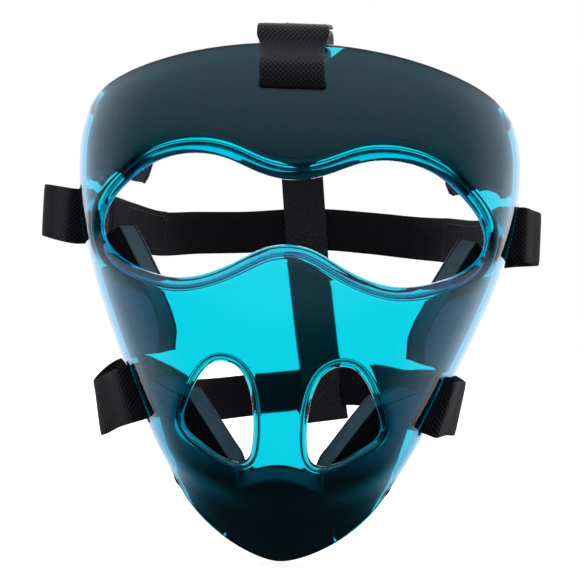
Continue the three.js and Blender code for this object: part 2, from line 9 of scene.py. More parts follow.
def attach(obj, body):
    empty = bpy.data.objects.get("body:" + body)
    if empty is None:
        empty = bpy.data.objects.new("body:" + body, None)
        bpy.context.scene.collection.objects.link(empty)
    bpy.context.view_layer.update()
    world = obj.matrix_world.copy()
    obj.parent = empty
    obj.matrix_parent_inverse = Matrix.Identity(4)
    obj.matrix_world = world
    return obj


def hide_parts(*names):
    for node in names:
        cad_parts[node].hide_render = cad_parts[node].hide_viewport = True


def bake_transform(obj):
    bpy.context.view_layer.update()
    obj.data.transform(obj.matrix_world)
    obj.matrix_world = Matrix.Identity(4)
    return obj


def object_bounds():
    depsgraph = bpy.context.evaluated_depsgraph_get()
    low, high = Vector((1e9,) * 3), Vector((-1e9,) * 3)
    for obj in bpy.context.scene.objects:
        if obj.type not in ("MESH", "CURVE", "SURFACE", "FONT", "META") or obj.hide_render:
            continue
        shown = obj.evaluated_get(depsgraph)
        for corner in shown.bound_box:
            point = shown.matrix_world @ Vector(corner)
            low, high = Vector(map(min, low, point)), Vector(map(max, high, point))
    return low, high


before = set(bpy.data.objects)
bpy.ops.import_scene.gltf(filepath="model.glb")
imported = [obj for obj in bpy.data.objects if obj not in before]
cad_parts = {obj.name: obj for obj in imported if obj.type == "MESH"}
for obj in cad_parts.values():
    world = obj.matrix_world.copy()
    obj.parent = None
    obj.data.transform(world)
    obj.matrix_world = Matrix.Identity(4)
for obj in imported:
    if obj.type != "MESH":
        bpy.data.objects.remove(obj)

# Metres, +Z up. The wearer looks along -Y, +X is the wearer's left.
MM = 0.001
WALL = 3 * MM  # of the moulding; slots and straps are placed by it
CAD_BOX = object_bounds()

bl_info = {
    "name": "Clear face guard",
    "version": (1, 0, 0),
    "blender": (4, 5, 0),
    "location": "View3D > Sidebar > Face guard",
    "description": "Dresses the frame of a clear face guard: shell, foam pads and strap harness",
    "category": "Add Mesh",
}


def linear(code):
    """A linear colour from an sRGB hex value."""
    parts = [int(code[i:i + 2], 16) / 255 for i in (1, 3, 5)]
    return tuple(c / 12.92 if c <= 0.04045 else ((c + 0.055) / 1.055) ** 2.4 for c in parts)


# ---------------------------------------------------------------- sizes and colours

class FaceGuardShell(bpy.types.PropertyGroup):
    wall: FloatProperty(name="Wall", description="Thickness of the moulded wall", default=WALL, unit="LENGTH")
    lip_depth: FloatProperty(
        name="Lip depth", description="How far in the lip of the eye opening reaches", default=6 * MM, unit="LENGTH")
    lip_wall: FloatProperty(name="Lip wall", description="Thickness of the lip", default=4.4 * MM, unit="LENGTH")
    nose_depth: FloatProperty(
        name="Breathing lip", description="How far in the edge of the breathing openings reaches", default=4.2 * MM,
        unit="LENGTH")
    lip_roll: FloatProperty(
        name="Lip roll", description="How wide the face turns into the lip", default=8.2 * MM, unit="LENGTH")
    nose_roll: FloatProperty(
        name="Breathing edge", description="How wide the face turns in at the breathing openings",
        default=5.2 * MM, unit="LENGTH")
    edge_round: FloatProperty(
        name="Edge", description="Radius of the polished outer edge", default=1.3 * MM, unit="LENGTH")
    pitch: FloatProperty(name="Mesh pitch", description="Spacing of the mesh", default=2.3 * MM, unit="LENGTH")
    tint: FloatVectorProperty(
        name="Tint", description="Colour of white seen through one wall", subtype="COLOR", default=linear("#00d8ee"))


class FaceGuardPads(bpy.types.PropertyGroup):
    foam: FloatProperty(name="Foam", description="Thickness of the foam", default=8 * MM, unit="LENGTH")
    forehead_foam: FloatProperty(
        name="Forehead foam", description="Thickness of the forehead foam", default=7 * MM, unit="LENGTH")
    lining: FloatProperty(name="Lining", description="Thickness of each fabric", default=0.9 * MM, unit="LENGTH")
    foam_colour: FloatVectorProperty(
        name="Foam colour", description="Cut edge of the foam", subtype="COLOR", default=linear("#31444b"))
    lining_colour: FloatVectorProperty(
        name="Lining colour", description="Brushed fabric of the pads", subtype="COLOR", default=linear("#08090b"))
    edge_colour: FloatVectorProperty(
        name="Edge colour", description="Frayed cut edge of the fabric", subtype="COLOR", default=linear("#5a5a62"))
    # painted haze: a pale colour on the cheek and jaw backings that stands in for light scattered in the wall over the
    # dark pads
    painted_haze_colour: FloatVectorProperty(
        name="Film colour", description="Adhesive film between the pads and the wall", subtype="COLOR",
        default=linear("#6e808a"))


class FaceGuardStraps(bpy.types.PropertyGroup):
    width: FloatProperty(name="Width", description="Width of every strap", default=25 * MM, unit="LENGTH")
    thick: FloatProperty(name="Thickness", description="Thickness of every strap", default=1.6 * MM, unit="LENGTH")
    hook: FloatProperty(name="Hook tape", description="Thickness of the hook tape", default=0.8 * MM, unit="LENGTH")
    stitch: FloatProperty(name="Stitch", description="Length of one stitch", default=2.6 * MM, unit="LENGTH")
    elastic_colour: FloatVectorProperty(
        name="Elastic", description="Twill elastic", subtype="COLOR", default=linear("#0a090c"))
    webbing_colour: FloatVectorProperty(
        name="Webbing", description="Woven webbing", subtype="COLOR", default=linear("#161418"))


class FaceGuardStudio(bpy.types.PropertyGroup):
    distance: FloatProperty(
        name="Distance", description="From the camera to its target", default=528.3 * MM, unit="LENGTH")
    turn: FloatProperty(
        name="Turn", description="Camera's way round to the wearer's left", default=math.radians(2.4), unit="ROTATION")
    rise: FloatProperty(
        name="Rise", description="Camera's angle above level", default=math.radians(-1.5), unit="ROTATION")
    roll: FloatProperty(name="Roll", description="Camera's roll", default=math.radians(2.67), unit="ROTATION")
    lens: FloatProperty(name="Lens", description="Focal length in millimetres", default=72.18)


# ---------------------------------------------------------------- the moulded surface

MASK_WIDTH, MASK_HEIGHT, MASK_DEPTH = 209 * MM, 228.5 * MM, 85.5 * MM

# Sections of the shell from its top edge to the chin, as shares of its depth, height and half width
STATION_SHARES = {
    "front": (0.772, 0.865, 0.912, 0.930, 0.971, 1.000, 0.971, 0.836, 0.620, 0.368),
    "high": (0.2757, 0.2101, 0.0963, -0.0263, -0.1575, -0.2888, -0.4201, -0.5427, -0.6258, -0.7243),
    "half": (0.890, 0.962, 1.000, 0.986, 0.914, 0.804, 0.684, 0.589, 0.517, 0.456),
    "back": (0.374, 0.129, 0.023, -0.012, 0.018, 0.099, 0.205, 0.298, 0.357, 0.390),
    "back_high": (0.2363, 0.1882, 0.0875, -0.0350, -0.1575, -0.2757, -0.3851, -0.4639, -0.5205, -0.5602),
    "round": (2.35, 2.45, 2.5, 2.5, 2.4, 2.3, 2.15, 1.9, 1.65, 1.52),
    "drop": (0.0656, 0.0438, 0.0066, 0, 0, 0, 0, 0, 0, 0),
}

# Half outline of the eye opening from its top middle round to its bottom middle, and the outline
# of a breathing opening from its top, as shares of their width and height
EYE_WIDTH, EYE_HEIGHT, EYE_TOP = 180 * MM, 53.5 * MM, 13 * MM
EYE_SHARES = (
    (0, 0.198), (0.094, 0.178), (0.155, 0.150), (0.239, 0.090), (0.333, 0.026), (0.433, 0),
    (0.539, 0.007), (0.633, 0.041), (0.733, 0.112), (0.822, 0.221), (0.906, 0.336), (0.967, 0.458),
    (1, 0.570), (0.994, 0.665), (0.944, 0.766), (0.850, 0.866), (0.740, 0.935), (0.633, 0.981),
    (0.528, 1), (0.433, 0.976), (0.339, 0.925), (0.250, 0.854), (0.167, 0.772), (0.083, 0.708), (0, 0.695),
)
NOSE_WIDTH, NOSE_HEIGHT, NOSE_INSET, NOSE_TOP = 32.6 * MM, 44.6 * MM, 11.4 * MM, -74 * MM
NOSE_SHARES = (
    (0.417, 0), (0.586, 0.022), (0.718, 0.123), (0.831, 0.258), (0.908, 0.392), (0.985, 0.538),
    (1, 0.661), (0.923, 0.740), (0.770, 0.807), (0.540, 0.915), (0.340, 0.986), (0.156, 1),
    (0.055, 0.953), (0.012, 0.807), (0, 0.605), (0.025, 0.381), (0.098, 0.184), (0.218, 0.054),
)
SLOT_LENGTH, SLOT_WIDTH, SLOT_CORNER = 28 * MM, 3.8 * MM, 1.4 * MM
# Round of the slots' edges, and how far from each kind of edge the net of the face begins
SLOT_ROUND, SLOT_REACH, RIM_REACH, LIP_REACH = 0.7 * MM, 1.4 * MM, 3 * MM, 1.4 * MM
# Lips: round of the tip, how deep the face turns in, fillet at the root and width of a breathing lip
LIP_ROUND = 1.2 * MM
EYE_TURN, EYE_FILLET = 3.6 * MM, 2.4 * MM
NOSE_TURN, NOSE_FILLET, NOSE_LIP = 2.4 * MM, 1.0 * MM, 2.9 * MM
# Points round the eye opening and a breathing opening, and how near the net comes to them, in pitches
EYE_POINTS, NOSE_POINTS, NET_MARGIN = 250, 110, 0.62
QUARTER = math.pi / 2
STEP = 1e-3  # difference in angle and down that a slope is taken over
KEEL = 0.1  # how far the crease on the middle line of the chin is softened
FLAT_SCALE = np.array([90 * MM, 235 * MM])  # roughly unrolls angle and down to metres


def unit(v):
    return v / np.linalg.norm(v, axis=-1, keepdims=True)


def dot(a, b):
    return (a * b).sum(-1)


def ease(f):
    f = np.clip(f, 0, 1)
    return f * f * (3 - 2 * f)


def through(values, share):
    """Smooth curve through evenly spaced values."""
    v = np.asarray(values, float)
    last = len(v) - 1
    along = np.asarray(share) * last
    i = np.clip(np.floor(along).astype(int), 0, last - 1)
    f = along - i
    p1, p2 = v[i], v[i + 1]
    p0 = np.where(i > 0, v[np.maximum(i - 1, 0)], 2 * p1 - p2)
    p3 = np.where(i + 2 <= last, v[np.minimum(i + 2, last)], 2 * p2 - p1)
    return 0.5 * (2 * p1 + (p2 - p0) * f + (2 * p0 - 5 * p1 + 4 * p2 - p3) * f * f
                  + (3 * p1 - p0 - 3 * p2 + p3) * f ** 3)


def polished(values, count=91, spread=0.018):
    """The same curve with the jumps in its curvature smoothed away, as a mould is polished."""
    margin, near = 0.2, 0.01
    at = np.linspace(-margin, 1 + margin, 561)
    raw = through(values, np.clip(at, 0, 1))
    slope0 = (through(values, near) - values[0]) / near
    slope1 = (values[-1] - through(values, 1 - near)) / near
    raw = raw + np.where(at < 0, at * slope0, 0) + np.where(at > 1, (at - 1) * slope1, 0)
    weights = np.exp(-0.5 * (np.arange(-60, 61) * (at[1] - at[0]) / spread) ** 2)
    soft = np.convolve(raw, weights / weights.sum(), "same")
    return np.interp(np.linspace(0, 1, count), at, soft)


SECTION = {key: polished(np.array(shares, float)) for key, shares in STATION_SHARES.items()}


def shell_point(angle, down):
    """Outer face of the shell. Angle 0 is its middle and a quarter turn its rear rim; down 0 is its top, 1 its chin."""
    section = {key: through(values, down) for key, values in SECTION.items()}
    power = section["round"]
    keel = KEEL ** power

    def bow(t):
        return ((t * t + KEEL ** 2) ** (power / 2) - keel) / ((1 + KEEL ** 2) ** (power / 2) - keel)

    c, s = np.abs(np.cos(angle)), np.abs(np.sin(angle))
    reach = (bow(c) + bow(s)) ** (-1 / power)
    side, back = reach * s, 1 - reach * c
    front, rear = (-section[key] * MASK_DEPTH for key in ("front", "back"))
    high, low = (section[key] * MASK_HEIGHT for key in ("high", "back_high"))
    return np.stack([
        np.sign(angle) * side * section["half"] * MASK_WIDTH / 2,
        front + (rear - front) * back,
        high + (low - high) * back - section["drop"] * MASK_HEIGHT * side * side,
    ], -1)


def slopes(angle, down):
    a = np.clip(angle, STEP - QUARTER, QUARTER - STEP)
    d = np.clip(down, STEP, 1 - STEP)
    across = (shell_point(a + STEP, d) - shell_point(a - STEP, d)) / (2 * STEP)
    along = (shell_point(a, d + STEP) - shell_point(a, d - STEP)) / (2 * STEP)
    return across, along


def shell_normal(angle, down):
    across, along = slopes(angle, down)
    return -unit(np.cross(across, along))


def under(angle, down, depth):
    """A point at a depth under the outer face."""
    return shell_point(angle, down) - shell_normal(angle, down) * np.asarray(depth)[..., None]


def settle(points, angle, down, flat=False):
    """Angle and down of the outer face nearest to points, or with flat where they show from the front."""
    a, d = np.array(angle, float), np.array(down, float)
    mask = np.array([1, 0, 1]) if flat else np.ones(3)
    rounds, stride = 12, 0.9
    for _ in range(rounds):
        across, along = (slope * mask for slope in slopes(a, d))
        miss = (points - shell_point(a, d)) * mask
        aa, ad, dd = dot(across, across), dot(across, along), dot(along, along)
        ra, rd = dot(miss, across), dot(miss, along)
        det = aa * dd - ad * ad
        a = np.clip(a + stride * (ra * dd - rd * ad) / det, -QUARTER, QUARTER)
        d = np.clip(d + stride * (rd * aa - ra * ad) / det, 0, 1)
    return a, d


def found(x, z):
    """Angle and down of the face where it is seen from the front at x, z."""
    grid_a, grid_d = (g.ravel() for g in np.meshgrid(np.linspace(-1.35, 1.35, 61), np.linspace(0.01, 0.99, 61)))
    grid = shell_point(grid_a, grid_d)
    near = ((grid[:, 0][None] - x[:, None]) ** 2 + (grid[:, 2][None] - z[:, None]) ** 2).argmin(1)
    return settle(np.stack([x, np.zeros_like(x), z], -1), grid_a[near], grid_d[near], flat=True)


def spline(corners, closed=False):
    """Dense points of a smooth curve through corners that bends evenly where they crowd."""
    p, per_span = np.asarray(corners, float), 24
    n = len(p)
    out = []
    for k in range(n if closed else n - 1):
        p1, p2 = p[k], p[(k + 1) % n]
        p0 = p[k - 1] if closed or k > 0 else 2 * p1 - p2
        p3 = p[(k + 2) % n] if closed or k + 2 < n else 2 * p2 - p1
        t0, t1, t2 = (max(float(((b - a) ** 2).sum()), 1e-18) ** 0.25 for a, b in ((p0, p1), (p1, p2), (p2, p3)))
        m1 = ((p1 - p0) / t0 - (p2 - p0) / (t0 + t1) + (p2 - p1) / t1) * t1
        m2 = ((p2 - p1) / t1 - (p3 - p1) / (t1 + t2) + (p3 - p2) / t2) * t1
        f = np.linspace(0, 1, per_span, endpoint=False)[:, None]
        out.append(p1 + m1 * f + (3 * (p2 - p1) - 2 * m1 - m2) * f ** 2 + (2 * (p1 - p2) + m1 + m2) * f ** 3)
    out.append(p[:1] if closed else p[-1:])
    return np.concatenate(out)


def run_along(line):
    """Length of a line of points up to each of them."""
    return np.concatenate([[0], np.cumsum(np.linalg.norm(np.diff(line, axis=0), axis=1))])


def evenly(points, count, start=0.0, end=None):
    """count + 1 points at even spacing along a line of points, or along a length of it."""
    run = run_along(points)
    at = np.linspace(start, run[-1] if end is None else end, count + 1)
    return np.stack([np.interp(at, run, column) for column in points.T], -1)


def softened(loop, rounds):
    """A closed loop with the small waves of its corners taken out."""
    for _ in range(rounds):
        loop = (np.roll(loop, 1, 0) + 2 * loop + np.roll(loop, -1, 0)) / 4
    return loop


def eye_outline(count):
    half = [(across * EYE_WIDTH / 2, EYE_TOP - fall * EYE_HEIGHT) for across, fall in EYE_SHARES]
    corners = half + [(-x, z) for x, z in half[-2:0:-1]]
    return softened(evenly(spline(corners, closed=True), count)[:-1], rounds=14)


def nose_outline(side, count):
    corners = [(side * (NOSE_INSET + a * NOSE_WIDTH), NOSE_TOP - f * NOSE_HEIGHT) for a, f in NOSE_SHARES]
    return softened(evenly(spline(corners, closed=True), count)[:-1], rounds=16)


def down_where(angle, height_of):
    """How far down the shell each angle meets a height, which may change with the distance from the middle."""
    down, step = np.full(np.shape(angle), 0.5), 0.25
    for _ in range(24):
        p = shell_point(angle, down)
        down = down + np.where(p[..., 2] > height_of(p[..., 0]), step, -step)
        step /= 2
    return down


def down_at(angle, height):
    return float(down_where(angle, lambda x: height))


def slot_frame(angle, height, tilt=0.0, aside=0.0):
    """A slot's middle in the wall, the way out through it and its long direction."""
    down = down_at(angle, height)
    long = np.array([np.sign(angle) * math.sin(tilt), 0, math.cos(tilt)] if angle else [1.0, 0, 0])
    middle, out = under(angle, down, WALL / 2) + aside * long, shell_normal(angle, down)
    out = unit(out - dot(out, long) * long)
    return {"middle": middle, "out": out, "long": long, "angle": angle, "down": down}


CROWN_SLOT_HEIGHT, UPPER_SLOT_HEIGHT, LOWER_SLOT_HEIGHT = 43 * MM, -12 * MM, -91 * MM
UPPER_SLOT_SHARE, LOWER_SLOT_SHARE, SLOT_TILT = 0.83, 0.70, math.radians(18)
SIDES = ((-1, "right"), (1, "left"))
CROWN_SLOT = slot_frame(0, CROWN_SLOT_HEIGHT, aside=-1.8 * MM)
SLOTS = {
    "upper": {side: slot_frame(side * UPPER_SLOT_SHARE * QUARTER, UPPER_SLOT_HEIGHT) for side, _ in SIDES},
    "lower": {side: slot_frame(side * LOWER_SLOT_SHARE * QUARTER, LOWER_SLOT_HEIGHT, SLOT_TILT)
              for side, _ in SIDES},
}


def slot_loop(slot, count=56):
    """Outline of a slot on the outer face: a long rectangle with round corners."""
    a, b, r = SLOT_LENGTH / 2, SLOT_WIDTH / 2, SLOT_CORNER
    corners = []
    for sa, sb, start in ((1, 1, 0), (-1, 1, 90), (-1, -1, 180), (1, -1, 270)):
        for turn in np.radians(np.arange(start, start + 91, 15)):
            corners.append((sa * (a - r) + r * math.cos(turn), sb * (b - r) + r * math.sin(turn)))
    flat = evenly(np.array(corners + corners[:1]), count)[:-1]
    across = np.cross(slot["out"], slot["long"])
    points = slot["middle"] + flat[:, :1] * slot["long"] + flat[:, 1:] * across
    return settle(points, np.full(count, slot["angle"]), np.full(count, slot["down"]))


def quarter(x, y, wide, deep, start, turn=-90):
    """Points of a quarter turn round x, y, from start degrees on."""
    angles = np.radians(start + np.linspace(0, turn, 9))
    return [(x + wide * math.cos(t), y + deep * math.sin(t)) for t in angles]


def plain_profile(radius, wall, reach):
    """Profile of a plain edge: from the outer face over a round edge and round the inner one."""
    return [(reach, 0), *quarter(radius, radius, radius, radius, 270),
            *quarter(radius, wall - radius, radius, radius, 180), (reach, wall)]


def lip_profile(wall, depth, lip, wide, deep, fillet):
    """Profile of an opening's edge: the wall turns in and ends in a round lip."""
    tip, reach = LIP_ROUND, wide + LIP_REACH
    return [
        (reach, 0),
        *quarter(wide, deep, wide, deep, 270),
        *quarter(tip, depth - tip, tip, tip, 180),
        *quarter(lip - tip, depth - tip, tip, tip, 90),
        *quarter(lip + fillet, wall + fillet, fillet, fillet, 180, 90),
        (reach, wall),
    ]


def rim(angle, down, profile, inward):
    """Rings of points round an edge, from the outer face to the inner one, and where the first one lies."""
    base = shell_point(angle, down)
    along = unit(np.roll(base, -1, 0) - np.roll(base, 1, 0))
    away = unit(np.cross(along, shell_normal(angle, down)))
    if (dot(away, base - base.mean(0)).mean() < 0) != inward:
        away = -away
    away = unit(softened(away, rounds=8))
    places = [settle(base + away * distance, angle, down) if distance > 1e-6 else (angle, down)
              for distance, _ in profile]
    rings = [under(a, d, np.full(len(a), depth)) for (a, d), (_, depth) in zip(places, profile)]
    return rings, places[0]


def in_polygon(points, loop):
    x, y = points[:, 0], points[:, 1]
    inside = np.zeros(len(points), bool)
    for (x0, y0), (x1, y1) in zip(loop, np.roll(loop, -1, 0)):
        if y0 != y1:
            inside ^= ((y0 > y) != (y1 > y)) & (x < (x1 - x0) * (y - y0) / (y1 - y0) + x0)
    return inside


def in_face(points, loops):
    """Whether points lie inside the first loop, the outer edge, and outside all the others."""
    inside = in_polygon(points, loops[0])
    for loop in loops[1:]:
        inside &= ~in_polygon(points, loop)
    return inside


def near_loop(points, loop, distance):
    hit = np.zeros(len(points), bool)
    for p in loop:
        hit |= ((points - p) ** 2).sum(1) < distance ** 2
    return hit


def outer_edge(pitch):
    """Angle and down along the four edges of the shell, once round."""
    across, down = int(2 * QUARTER * FLAT_SCALE[0] / pitch), int(FLAT_SCALE[1] / pitch)
    half = np.array([(QUARTER * (2 * k / across - 1), 0.0) for k in range(across)]
                    + [(QUARTER, k / down) for k in range(down)])
    return np.concatenate([half, (0, 1) - half]).T


def shell_edges(shell):
    """Every edge of the shell: the angle and down it runs through, its profile, and whether the shell is inside it."""
    wall = shell.wall
    eye_lip = lip_profile(wall, shell.lip_depth, shell.lip_wall, shell.lip_roll, EYE_TURN, EYE_FILLET)
    nose_lip = lip_profile(wall, shell.nose_depth, NOSE_LIP, shell.nose_roll, NOSE_TURN, NOSE_FILLET)
    edges = [(*outer_edge(shell.pitch), plain_profile(shell.edge_round, wall, RIM_REACH), True)]
    for outline, profile in (
        (eye_outline(EYE_POINTS), eye_lip),
        (nose_outline(-1, NOSE_POINTS), nose_lip), (nose_outline(1, NOSE_POINTS), nose_lip),
    ):
        edges.append((*found(*outline.T), profile, False))
    for slot in (CROWN_SLOT, *SLOTS["upper"].values(), *SLOTS["lower"].values()):
        edges.append((*slot_loop(slot), plain_profile(SLOT_ROUND, wall, SLOT_REACH), False))
    return edges


def face_net(loops, pitch):
    """An even net over the unrolled face, between its outer edge and the openings: its points, its triangles and,
    for each loop, the numbers of the points it runs through."""
    u, w = (g.ravel() for g in np.meshgrid(
        np.arange(-QUARTER * FLAT_SCALE[0], QUARTER * FLAT_SCALE[0], pitch), np.arange(0, FLAT_SCALE[1], pitch)))
    net = np.stack([u + (np.round(w / pitch) % 2) * pitch / 2, w], -1)
    keep = in_face(net, loops)
    for loop in loops:
        keep &= ~near_loop(net, loop, NET_MARGIN * pitch)
    points = [*loops, net[keep]]
    starts = np.cumsum([0] + [len(p) for p in points]).tolist()
    edges = [(start + i, start + (i + 1) % len(loop)) for start, loop in zip(starts, loops) for i in range(len(loop))]
    verts, _, tris, origin, _, _ = geometry.delaunay_2d_cdt(
        [Vector(p) for p in np.concatenate(points)], edges, [], 0, 1e-7)
    flat = np.array([tuple(v) for v in verts])
    tris = np.array([t for t in tris if len(t) == 3])
    tris = tris[in_face(flat[tris].mean(1), loops)]
    number = {o[0]: i for i, o in enumerate(origin) if o}
    return flat, tris, [np.array([number[start + i] for i in range(len(loop))]) for start, loop in zip(starts, loops)]


def moulded_shell(shell):
    """The clear shell: both faces of the wall over one net of points, with an edge swept round every opening."""
    made = [rim(*edge) for edge in shell_edges(shell)]
    flat, tris, firsts = face_net([np.stack(place, -1) * FLAT_SCALE for _, place in made], shell.pitch)
    angle, down = (flat / FLAT_SCALE).T
    normal, outer = shell_normal(angle, down), shell_point(angle, down)
    points, normals = [outer, outer - normal * shell.wall], [normal, -normal]
    count = len(flat)
    faces = [*tris.tolist(), *(tris[:, ::-1] + count).tolist()]
    total = 2 * count
    for (rings, _), first in zip(made, firsts):
        numbers = [first]
        for ring in rings[1:-1]:
            points.append(ring)
            normals.append(np.zeros_like(ring))
            numbers.append(np.arange(total, total + len(ring)))
            total += len(ring)
        numbers.append(first + count)
        for a, b in zip(numbers, numbers[1:]):
            faces += np.stack([a, np.roll(a, -1), np.roll(b, -1), b], -1).tolist()
    obj = new_object("clear_shell", np.concatenate(points), faces)
    obj.data.shade_smooth()
    obj.data.normals_split_custom_set_from_vertices(np.concatenate(normals).tolist())
    return obj


# ---------------------------------------------------------------- modelling helpers

def only(obj):
    bpy.ops.object.select_all(action="DESELECT")
    obj.select_set(True)
    bpy.context.view_layer.objects.active = obj


def face_out(obj):
    """Turns every face of a closed piece outwards."""
    only(obj)
    bpy.ops.object.mode_set(mode="EDIT")
    bpy.ops.mesh.select_all(action="SELECT")
    bpy.ops.mesh.normals_make_consistent(inside=False)
    bpy.ops.object.mode_set(mode="OBJECT")


def apply(obj, kind, **settings):
    """Adds a modifier and applies it."""
    only(obj)
    modifier = obj.modifiers.new(kind.title(), kind)
    for key, value in settings.items():
        setattr(modifier, key, value)
    bpy.ops.object.modifier_apply(modifier=modifier.name)


def slab(name, columns, rows):
    """A grid drawn out into a closed slab; its length, width and thickness run from 0 to 1."""
    bpy.ops.object.select_all(action="DESELECT")
    bpy.ops.mesh.primitive_grid_add(x_subdivisions=columns, y_subdivisions=rows, size=1)
    obj = bpy.context.object
    obj.name = obj.data.name = name
    bpy.ops.object.mode_set(mode="EDIT")
    bpy.ops.mesh.select_all(action="SELECT")
    bpy.ops.mesh.extrude_region_move(TRANSFORM_OT_translate={"value": (0, 0, 1)})
    bpy.ops.object.mode_set(mode="OBJECT")
    co = np.empty(len(obj.data.vertices) * 3)
    obj.data.vertices.foreach_get("co", co)
    u, w, layer = (co.reshape(-1, 3) + np.array([0.5, 0.5, 0])).T
    return obj, u, w, layer


def new_object(name, points, faces):
    """A closed piece from points and faces, with every face turned outwards."""
    mesh = bpy.data.meshes.new(name)
    mesh.from_pydata(points.tolist(), [], faces)
    obj = bpy.data.objects.new(name, mesh)
    bpy.context.scene.collection.objects.link(obj)
    face_out(obj)
    return obj


def put(obj, points, plan):
    """Moves the vertices to points, and lays the piece's own map out in millimetres of plan."""
    obj.data.vertices.foreach_set("co", points.ravel())
    obj.data.update()
    corner = np.empty(len(obj.data.loops), int)
    obj.data.loops.foreach_get("vertex_index", corner)
    layer = obj.data.uv_layers.active or obj.data.uv_layers.new(name="UVMap")
    layer.data.foreach_set("uv", (plan[corner] / MM).ravel())
    face_out(obj)


def soften(obj, width, segments, levels=0):
    apply(obj, "BEVEL", width=width, segments=segments, limit_method="ANGLE", angle_limit=math.radians(48))
    if levels:
        apply(obj, "SUBSURF", levels=levels, render_levels=levels)
    obj.data.shade_smooth()


def settled(obj, body, slot, material, *nodes):
    """Gives a finished piece its material, its body and the nodes that it stands for."""
    obj.data.materials.clear()
    obj.data.materials.append(material)
    if body:
        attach(obj, body)
    if nodes:
        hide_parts(*nodes)


# ---------------------------------------------------------------- materials

def add_node(tree, kind, inputs=None, **settings):
    """Adds a node with its settings; inputs are values or the sockets that feed them."""
    made = tree.nodes.new(kind)
    for key, value in settings.items():
        setattr(made, key, value)
    for key, value in (inputs or {}).items():
        if isinstance(value, bpy.types.NodeSocket):
            tree.links.new(value, made.inputs[key])
        else:
            made.inputs[key].default_value = value
    return made


def new_material(name):
    material = bpy.data.materials.new(name)
    material.use_nodes = True
    material.node_tree.nodes.clear()
    return material, material.node_tree


def toned(colour, share=1.0, lift=0.0):
    """An opaque colour, made darker or paler by a share and a lift."""
    return (*(c * share + lift for c in tuple(colour)[:3]), 1)


def maths(tree, operation, first, *others):
    """An operation on numbers or sockets; three or more are taken one after another."""
    for other in others or (0.0,):
        first = add_node(tree, "ShaderNodeMath", {0: first, 1: other}, operation=operation).outputs[0]
    return first


def wave(tree, value, period):
    """Sine of a length in millimetres, with its real period."""
    return maths(tree, "SINE", maths(tree, "MULTIPLY", value, 2 * math.pi / period))


def noise(tree, place, scale, detail, roughness=0.5):
    return add_node(tree, "ShaderNodeTexNoise", {
        "Vector": place, "Scale": scale, "Detail": detail, "Roughness": roughness}).outputs["Fac"]


def ranged(tree, value, low, high, base=0.0, top=1.0, **settings):
    """Runs from base to top while value runs from low to high."""
    return add_node(
        tree, "ShaderNodeMapRange", {0: value, 1: low, 2: high, 3: base, 4: top}, **settings).outputs[0]


def blended(tree, share, one, other, **settings):
    """A colour between two, or with blend_type what the second makes of the first."""
    return add_node(tree, "ShaderNodeMix", {0: share, 6: one, 7: other}, data_type="RGBA", **settings).outputs[2]


def surface(tree, colour, roughness, specular=0.5, bump=None, **values):
    """A surface of one colour and gloss; bump is a height and the strength and depth that it shows with."""
    inputs = {"Base Color": colour, "Roughness": roughness, "IOR": 1.5, "Specular IOR Level": specular}
    inputs.update((key.replace("_", " "), value) for key, value in values.items())
    if bump:
        height, strength, depth = bump
        inputs["Normal"] = add_node(
            tree, "ShaderNodeBump", {"Strength": strength, "Distance": depth, "Height": height}).outputs[0]
    skin = add_node(tree, "ShaderNodeBsdfPrincipled", inputs)
    add_node(tree, "ShaderNodeOutputMaterial", {"Surface": skin.outputs[0]})


def own_place(tree):
    return add_node(tree, "ShaderNodeTexCoord").outputs["Object"]


def own_map(tree):
    return add_node(tree, "ShaderNodeUVMap", uv_map="UVMap").outputs[0]


def strap_map(tree):
    """A strap's map, and its lengths along and across in millimetres."""
    place = own_map(tree)
    split = add_node(tree, "ShaderNodeSeparateXYZ", {0: place}).outputs
    return place, split[0], split[1]


def moulded_polycarbonate(tint, wall):
    """Polycarbonate, injection moulded and polished: clear, glass-smooth, its colour deepening with the way through."""
    material, tree = new_material("moulded_polycarbonate")
    least, slant = 0.0015, 1.12  # least light let through, and how much longer the usual way is than the wall
    skin = add_node(tree, "ShaderNodeBsdfPrincipled", {
        "Base Color": (1, 1, 1, 1), "Roughness": 0.035, "IOR": 1.585, "Transmission Weight": 1.0})
    take = [-math.log(max(c, least)) / (wall * slant) for c in tuple(tint)[:3]]
    density = max(take)
    body = add_node(tree, "ShaderNodeVolumeAbsorption", {
        "Color": (*(1 - t / density for t in take), 1), "Density": density})
    light = add_node(tree, "ShaderNodeLightPath")
    clear = add_node(tree, "ShaderNodeBsdfTransparent", {"Color": (1, 1, 1, 1)})
    mixed = add_node(tree, "ShaderNodeMixShader", {
        0: light.outputs["Is Shadow Ray"], 1: skin.outputs[0], 2: clear.outputs[0]})
    add_node(tree, "ShaderNodeOutputMaterial", {"Surface": mixed.outputs[0], "Volume": body.outputs[0]})
    return material


def twill_elastic(colour):
    """Polyester twill elastic, woven: slanting ribs 1.45 mm apart, with painted highlight on their crests and painted
    shade between them.
    """
    material, tree = new_material("twill_elastic")
    place, along, across = strap_map(tree)
    ribs = wave(tree, maths(tree, "SUBTRACT", along, across), 1.45 * math.sqrt(2))
    knit = wave(tree, maths(tree, "ADD", along, across), 0.7 * math.sqrt(2))
    fuzz = noise(tree, place, 1.4, 3.0, 0.65)
    height = maths(tree, "ADD", ribs, maths(tree, "MULTIPLY", knit, 0.22), maths(tree, "MULTIPLY", fuzz, 0.5))
    # painted highlight on the rib crests and painted shade between them, taken from the height of the weave
    thread = blended(tree, ranged(tree, height, -0.9, 1.5), toned(colour, 0.35), toned(colour, 2.3, 0.002))
    surface(tree, thread, 0.7, 0.12, (height, 0.9, 0.22 * MM))
    return material


